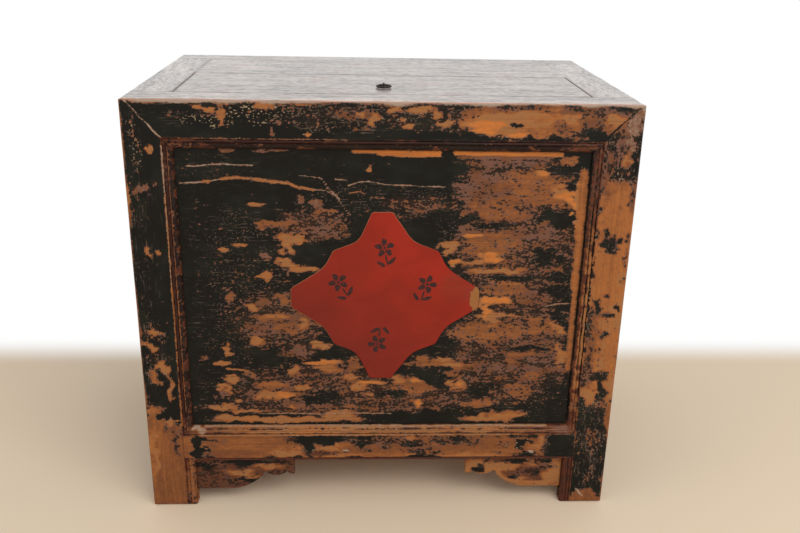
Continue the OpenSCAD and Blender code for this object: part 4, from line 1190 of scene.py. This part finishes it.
def blossom(name, x, z, tilt):
    """A painted sprig: five petals round a heart, a stem and two leaves, as flat strokes."""
    face = MEDALLION_LOW.y
    strokes = []
    for k in range(PETALS):
        turn = math.radians(90 + 360 / PETALS * k)
        strokes.append((PETAL_OUT * math.cos(turn), HEART_Z + PETAL_OUT * math.sin(turn),
                        PETAL_LONG, PETAL_WIDE, turn))
    points, faces = [], []
    for n, (sx, sz, long, wide, turn) in enumerate(strokes + OTHER_STROKES):
        start, ring = len(points), range(STROKE_POINTS)
        for k in ring:
            a = 2 * math.pi * k / STROKE_POINTS
            wobble = 1 + 0.10 * math.sin(3 * a + n) + 0.06 * math.sin(5 * a + 2 * n)
            ex, ez = long * math.cos(a) * wobble, wide * math.sin(a) * wobble
            px = SPRIG_SIZE * (sx + ex * math.cos(turn) - ez * math.sin(turn))
            pz = SPRIG_SIZE * (sz + ex * math.sin(turn) + ez * math.cos(turn))
            qx = px * math.cos(tilt) - pz * math.sin(tilt)
            qz = px * math.sin(tilt) + pz * math.cos(tilt)
            points.append((x + qx, face - 0.04 - 0.012 * n, z + qz))
        points += [(px, face + 0.2, pz) for px, _, pz in points[start:]]
        under = start + STROKE_POINTS
        for k in ring:
            m = (k + 1) % STROKE_POINTS
            faces.append((start + k, start + m, under + m, under + k))
        faces += [tuple(start + k for k in ring), tuple(under + k for k in ring)]
    return new_mesh(name, points, faces)


# The top

def top_board(name, rings, around, points):
    return new_mesh(name, hand_made(points), tube_faces(rings, around), top_marks(points))


def top_marks(points):
    """Wear of the top: rubbed towards the front arris, and matt in its seams."""
    b = points[:, 1] + HALF_D
    drift = flat_blotches(points, 120, 50, 3)
    wear = 0.36 + 0.16 * drift + 0.45 * np.clip(1 - b / 45, 0, 1)
    return {"wear": np.where(HEIGHT - points[:, 2] > 5.5, 0.25, wear), "matt": seam_shade(points),
            "rub": arris_rub(points)}


def seam_shade(points):
    """1 in the seams round the lid and beside the end boards, else 0."""
    x, y = abs(points[:, 0]), points[:, 1]
    beside = np.clip(1.6 - abs(x - OPENING_X) / 1.4, 0, 1)
    beside *= (y > OPENING_FRONT - 2) & (y < BACK_BOARD)
    beside *= np.where(y > LID_BACK, 0.45 * (points[:, 0] < 0), 1)
    along_lid = np.clip(1.6 - np.minimum(abs(y - OPENING_FRONT), abs(y - LID_BACK)) / 1.4, 0, 1)
    gap = flat_blotches(points, 70, 30, 7)
    along_lid *= np.clip(0.35 + 0.8 * gap, 0, 1) * (x < OPENING_X + 2)
    return np.clip(np.maximum(beside, along_lid), 0, 1)


def arris_rub(points):
    """1 along the front arris, where the lacquer is rubbed off the top's edge, else 0."""
    wobble = flat_blotches(points, 40, 8, 7)
    return np.clip(1.2 - (points[:, 1] + HALF_D) / (5 + 5 * wobble), 0, 1)


def edge_outline(width):
    """Section of a board at the top's outer edge: distance in from it, depth under the top."""
    near = [(c, 0.0) for c in (0.0,) + NEAR_ARRIS]
    seam = (width - SEAM_EASE, 0.0)
    return near + through((10.0, 0.0), seam, step=5.0) + through(
        seam, (width, SEAM_EASE), (width, TOP_T), (TOP_T, TOP_T), (0.0, 0.0), step=12)


def edge_board(name, back):
    """The full-width board along the front or the back of the top."""
    outline = edge_outline((HALF_D - BACK_BOARD) if back else (OPENING_FRONT + HALF_D))
    b, c = np.array(outline).T
    stations = spread(-HALF_W, HALF_W, TOP_STEP, (0.0,) + NEAR_ARRIS)
    x = stretch(stations, c - HALF_W, HALF_W - c, (-HALF_W + 30, HALF_W - 30))
    rings, around = x.shape
    y = np.tile((HALF_D - b) if back else (-HALF_D + b), rings)
    points = worn_edges(np.stack([x.reshape(-1), y, HEIGHT - np.tile(c, rings)], 1))
    return top_board(name, rings, around, points)


def end_board(name, sign):
    """The member across the end of the top, between the two long boards."""
    stations = spread(OPENING_FRONT, BACK_BOARD, TOP_STEP)
    rings, around, y, a, c = laid(stations, edge_outline(HALF_W - OPENING_X))
    sunk = np.clip(SEAM_EASE - np.minimum(y - OPENING_FRONT, BACK_BOARD - y), 0, SEAM_EASE)
    c = np.where((c == SEAM_EASE) & (y > LID_BACK), TIGHT_SEAM, c)
    points = worn_edges(np.stack([sign * (HALF_W - a), y, HEIGHT - np.maximum(c, sunk)], 1))
    return top_board(name, rings, around, points)


def flat_board(name, low, high):
    """A board with eased upper edges."""
    outline = [(y, high.z) for y in spread(low.y, high.y, TOP_STEP, (0, SEAM_EASE))]
    outline += through((high.y, low.z), (low.y, low.z), outline[0], step=30)
    stations = spread(low.x, high.x, TOP_STEP, (0, SEAM_EASE))
    rings, around, x, y, z = laid(stations, outline)
    edge = np.minimum(np.minimum(x - low.x, high.x - x), np.minimum(y - low.y, high.y - y))
    ease = SEAM_EASE - np.minimum(edge, SEAM_EASE)
    ease = np.where(y > LID_BACK + 1, np.minimum(ease, TIGHT_SEAM), ease)
    z = np.where(z > high.z - 1, z - ease, z)
    return top_board(name, rings, around, np.stack([x, y, z], 1))


def pull_ring():
    """The ring, hammered a little uneven."""
    low, high = box_mm("pull_ring")
    middle = (low + high) / 2
    wire = (high.z - low.z) / 2
    radius = (high.x - low.x) / 2 - wire
    rings, around = RING_STEPS, WIRE_STEPS
    points, faces = [], []
    for i in range(rings):
        turn = 2 * math.pi * i / rings
        thick = wire * (0.97 + 0.03 * math.sin(3 * turn + 1))
        for j in range(around):
            a = 2 * math.pi * j / around
            r = radius + thick * math.cos(a)
            points.append((middle.x + r * math.cos(turn), middle.y + r * math.sin(turn),
                           middle.z + thick * math.sin(a)))
            n, m = (i + 1) % rings, (j + 1) % around
            faces.append((i * around + j, n * around + j, n * around + m, i * around + m))
    return new_mesh("worn_pull_ring", points, faces)


# Putting it together

def build_frame_pieces():
    lacquer = {grain: lacquer_finish("lacquer_along_" + grain, grain) for grain in "xyz"}
    for back in (False, True):
        for right in (False, True):
            piece = post(right, back)
            dress(piece, lacquer["z"], "frame_lacquer", "root", piece.name.replace("worn_", ""))
    for side, grain in GRAIN.items():
        for piece in (top_rail(side), lower_rail(side)):
            dress(piece, lacquer[grain], "frame_lacquer", "root", piece.name.replace("worn_", ""))
        dress(panel(side), lacquer[grain], "panel_lacquer", "root", "panel_" + side)
    for node in ("bracket_left", "bracket_right"):
        piece = worn_copy(node, 1.2, (6, 20, 4),
                          lambda spots: attributes(front_marks(spots, "brown", BRACKET_COATS)))
        dress(piece, lacquer["x"], "bracket_wood", "root", node)


def build_medallion():
    plate = worn_copy("medallion", 0.9, (5, 5, 5), medallion_marks)
    cut_by_hand(plate)
    dress(plate, medallion_finish(), "red_lacquer", "root", "medallion")
    ink = ink_finish()
    for sprig in SPRIGS:
        dress(blossom(*sprig), ink, "red_lacquer", "root")


def build_top():
    wide, deep = top_finish("top_along_x", "x", 0.98), top_finish("top_along_y", "y", 1.1)
    for node, back in (("top_board_front", False), ("top_board_back", True)):
        dress(edge_board("worn_" + node, back), wide, "top_lacquer", "root", node)
    for node, sign in (("top_end_left", -1), ("top_end_right", 1)):
        dress(end_board("worn_" + node, sign), deep, "top_lacquer", "root", node)
    for node, body in (("top_board_middle", "root"), ("lid_board", "lid")):
        dress(flat_board("worn_" + node, *box_mm(node)), wide, "top_lacquer", body, node)


def build_pull():
    iron = iron_finish()
    dress(pull_ring(), iron, "iron", "ring", "pull_ring")
    for node in ("pull_staple", "pull_washer"):
        dress(worn_copy(node, 0.4, (90, 90, 90), None), iron, "iron", "lid", node)
    for node in ("ledge_nails", "bearer_nails", "batten_nails"):
        finish_node(node, iron)


def finish_node(node, material):
    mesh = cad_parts[node].data
    mesh.materials.clear()
    mesh.materials.append(material)


def build_inside():
    raw = {grain: raw_finish("raw_pine_along_" + grain, grain) for grain in "xyz"}
    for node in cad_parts:
        if node.startswith(("ledge_", "bearer_")) and not node.endswith("nails"):
            finish_node(node, raw["y" if node.endswith(("left", "right")) else "x"])
        if node.startswith("bottom_board"):
            finish_node(node, raw["x"])
        if node.startswith("lid_batten"):
            finish_node(node, raw["y"])
    finish_node("tenon_pegs", raw["z"])


def build_stage():
    corners = [(x * FLOOR_REACH, y * FLOOR_REACH, 0) for x, y in ((-1, -1), (1, -1), (1, 1), (-1, 1))]
    floor = new_mesh("floor", corners, [(0, 1, 2, 3)])
    floor.data.materials.append(floor_finish())
    make_world()
    for softbox in SOFTBOXES:
        add_softbox(*softbox)


make_camera()
bpy.context.scene.view_settings.view_transform = "Standard"
build_stage()
build_frame_pieces()
build_medallion()
build_top()
build_pull()
build_inside()
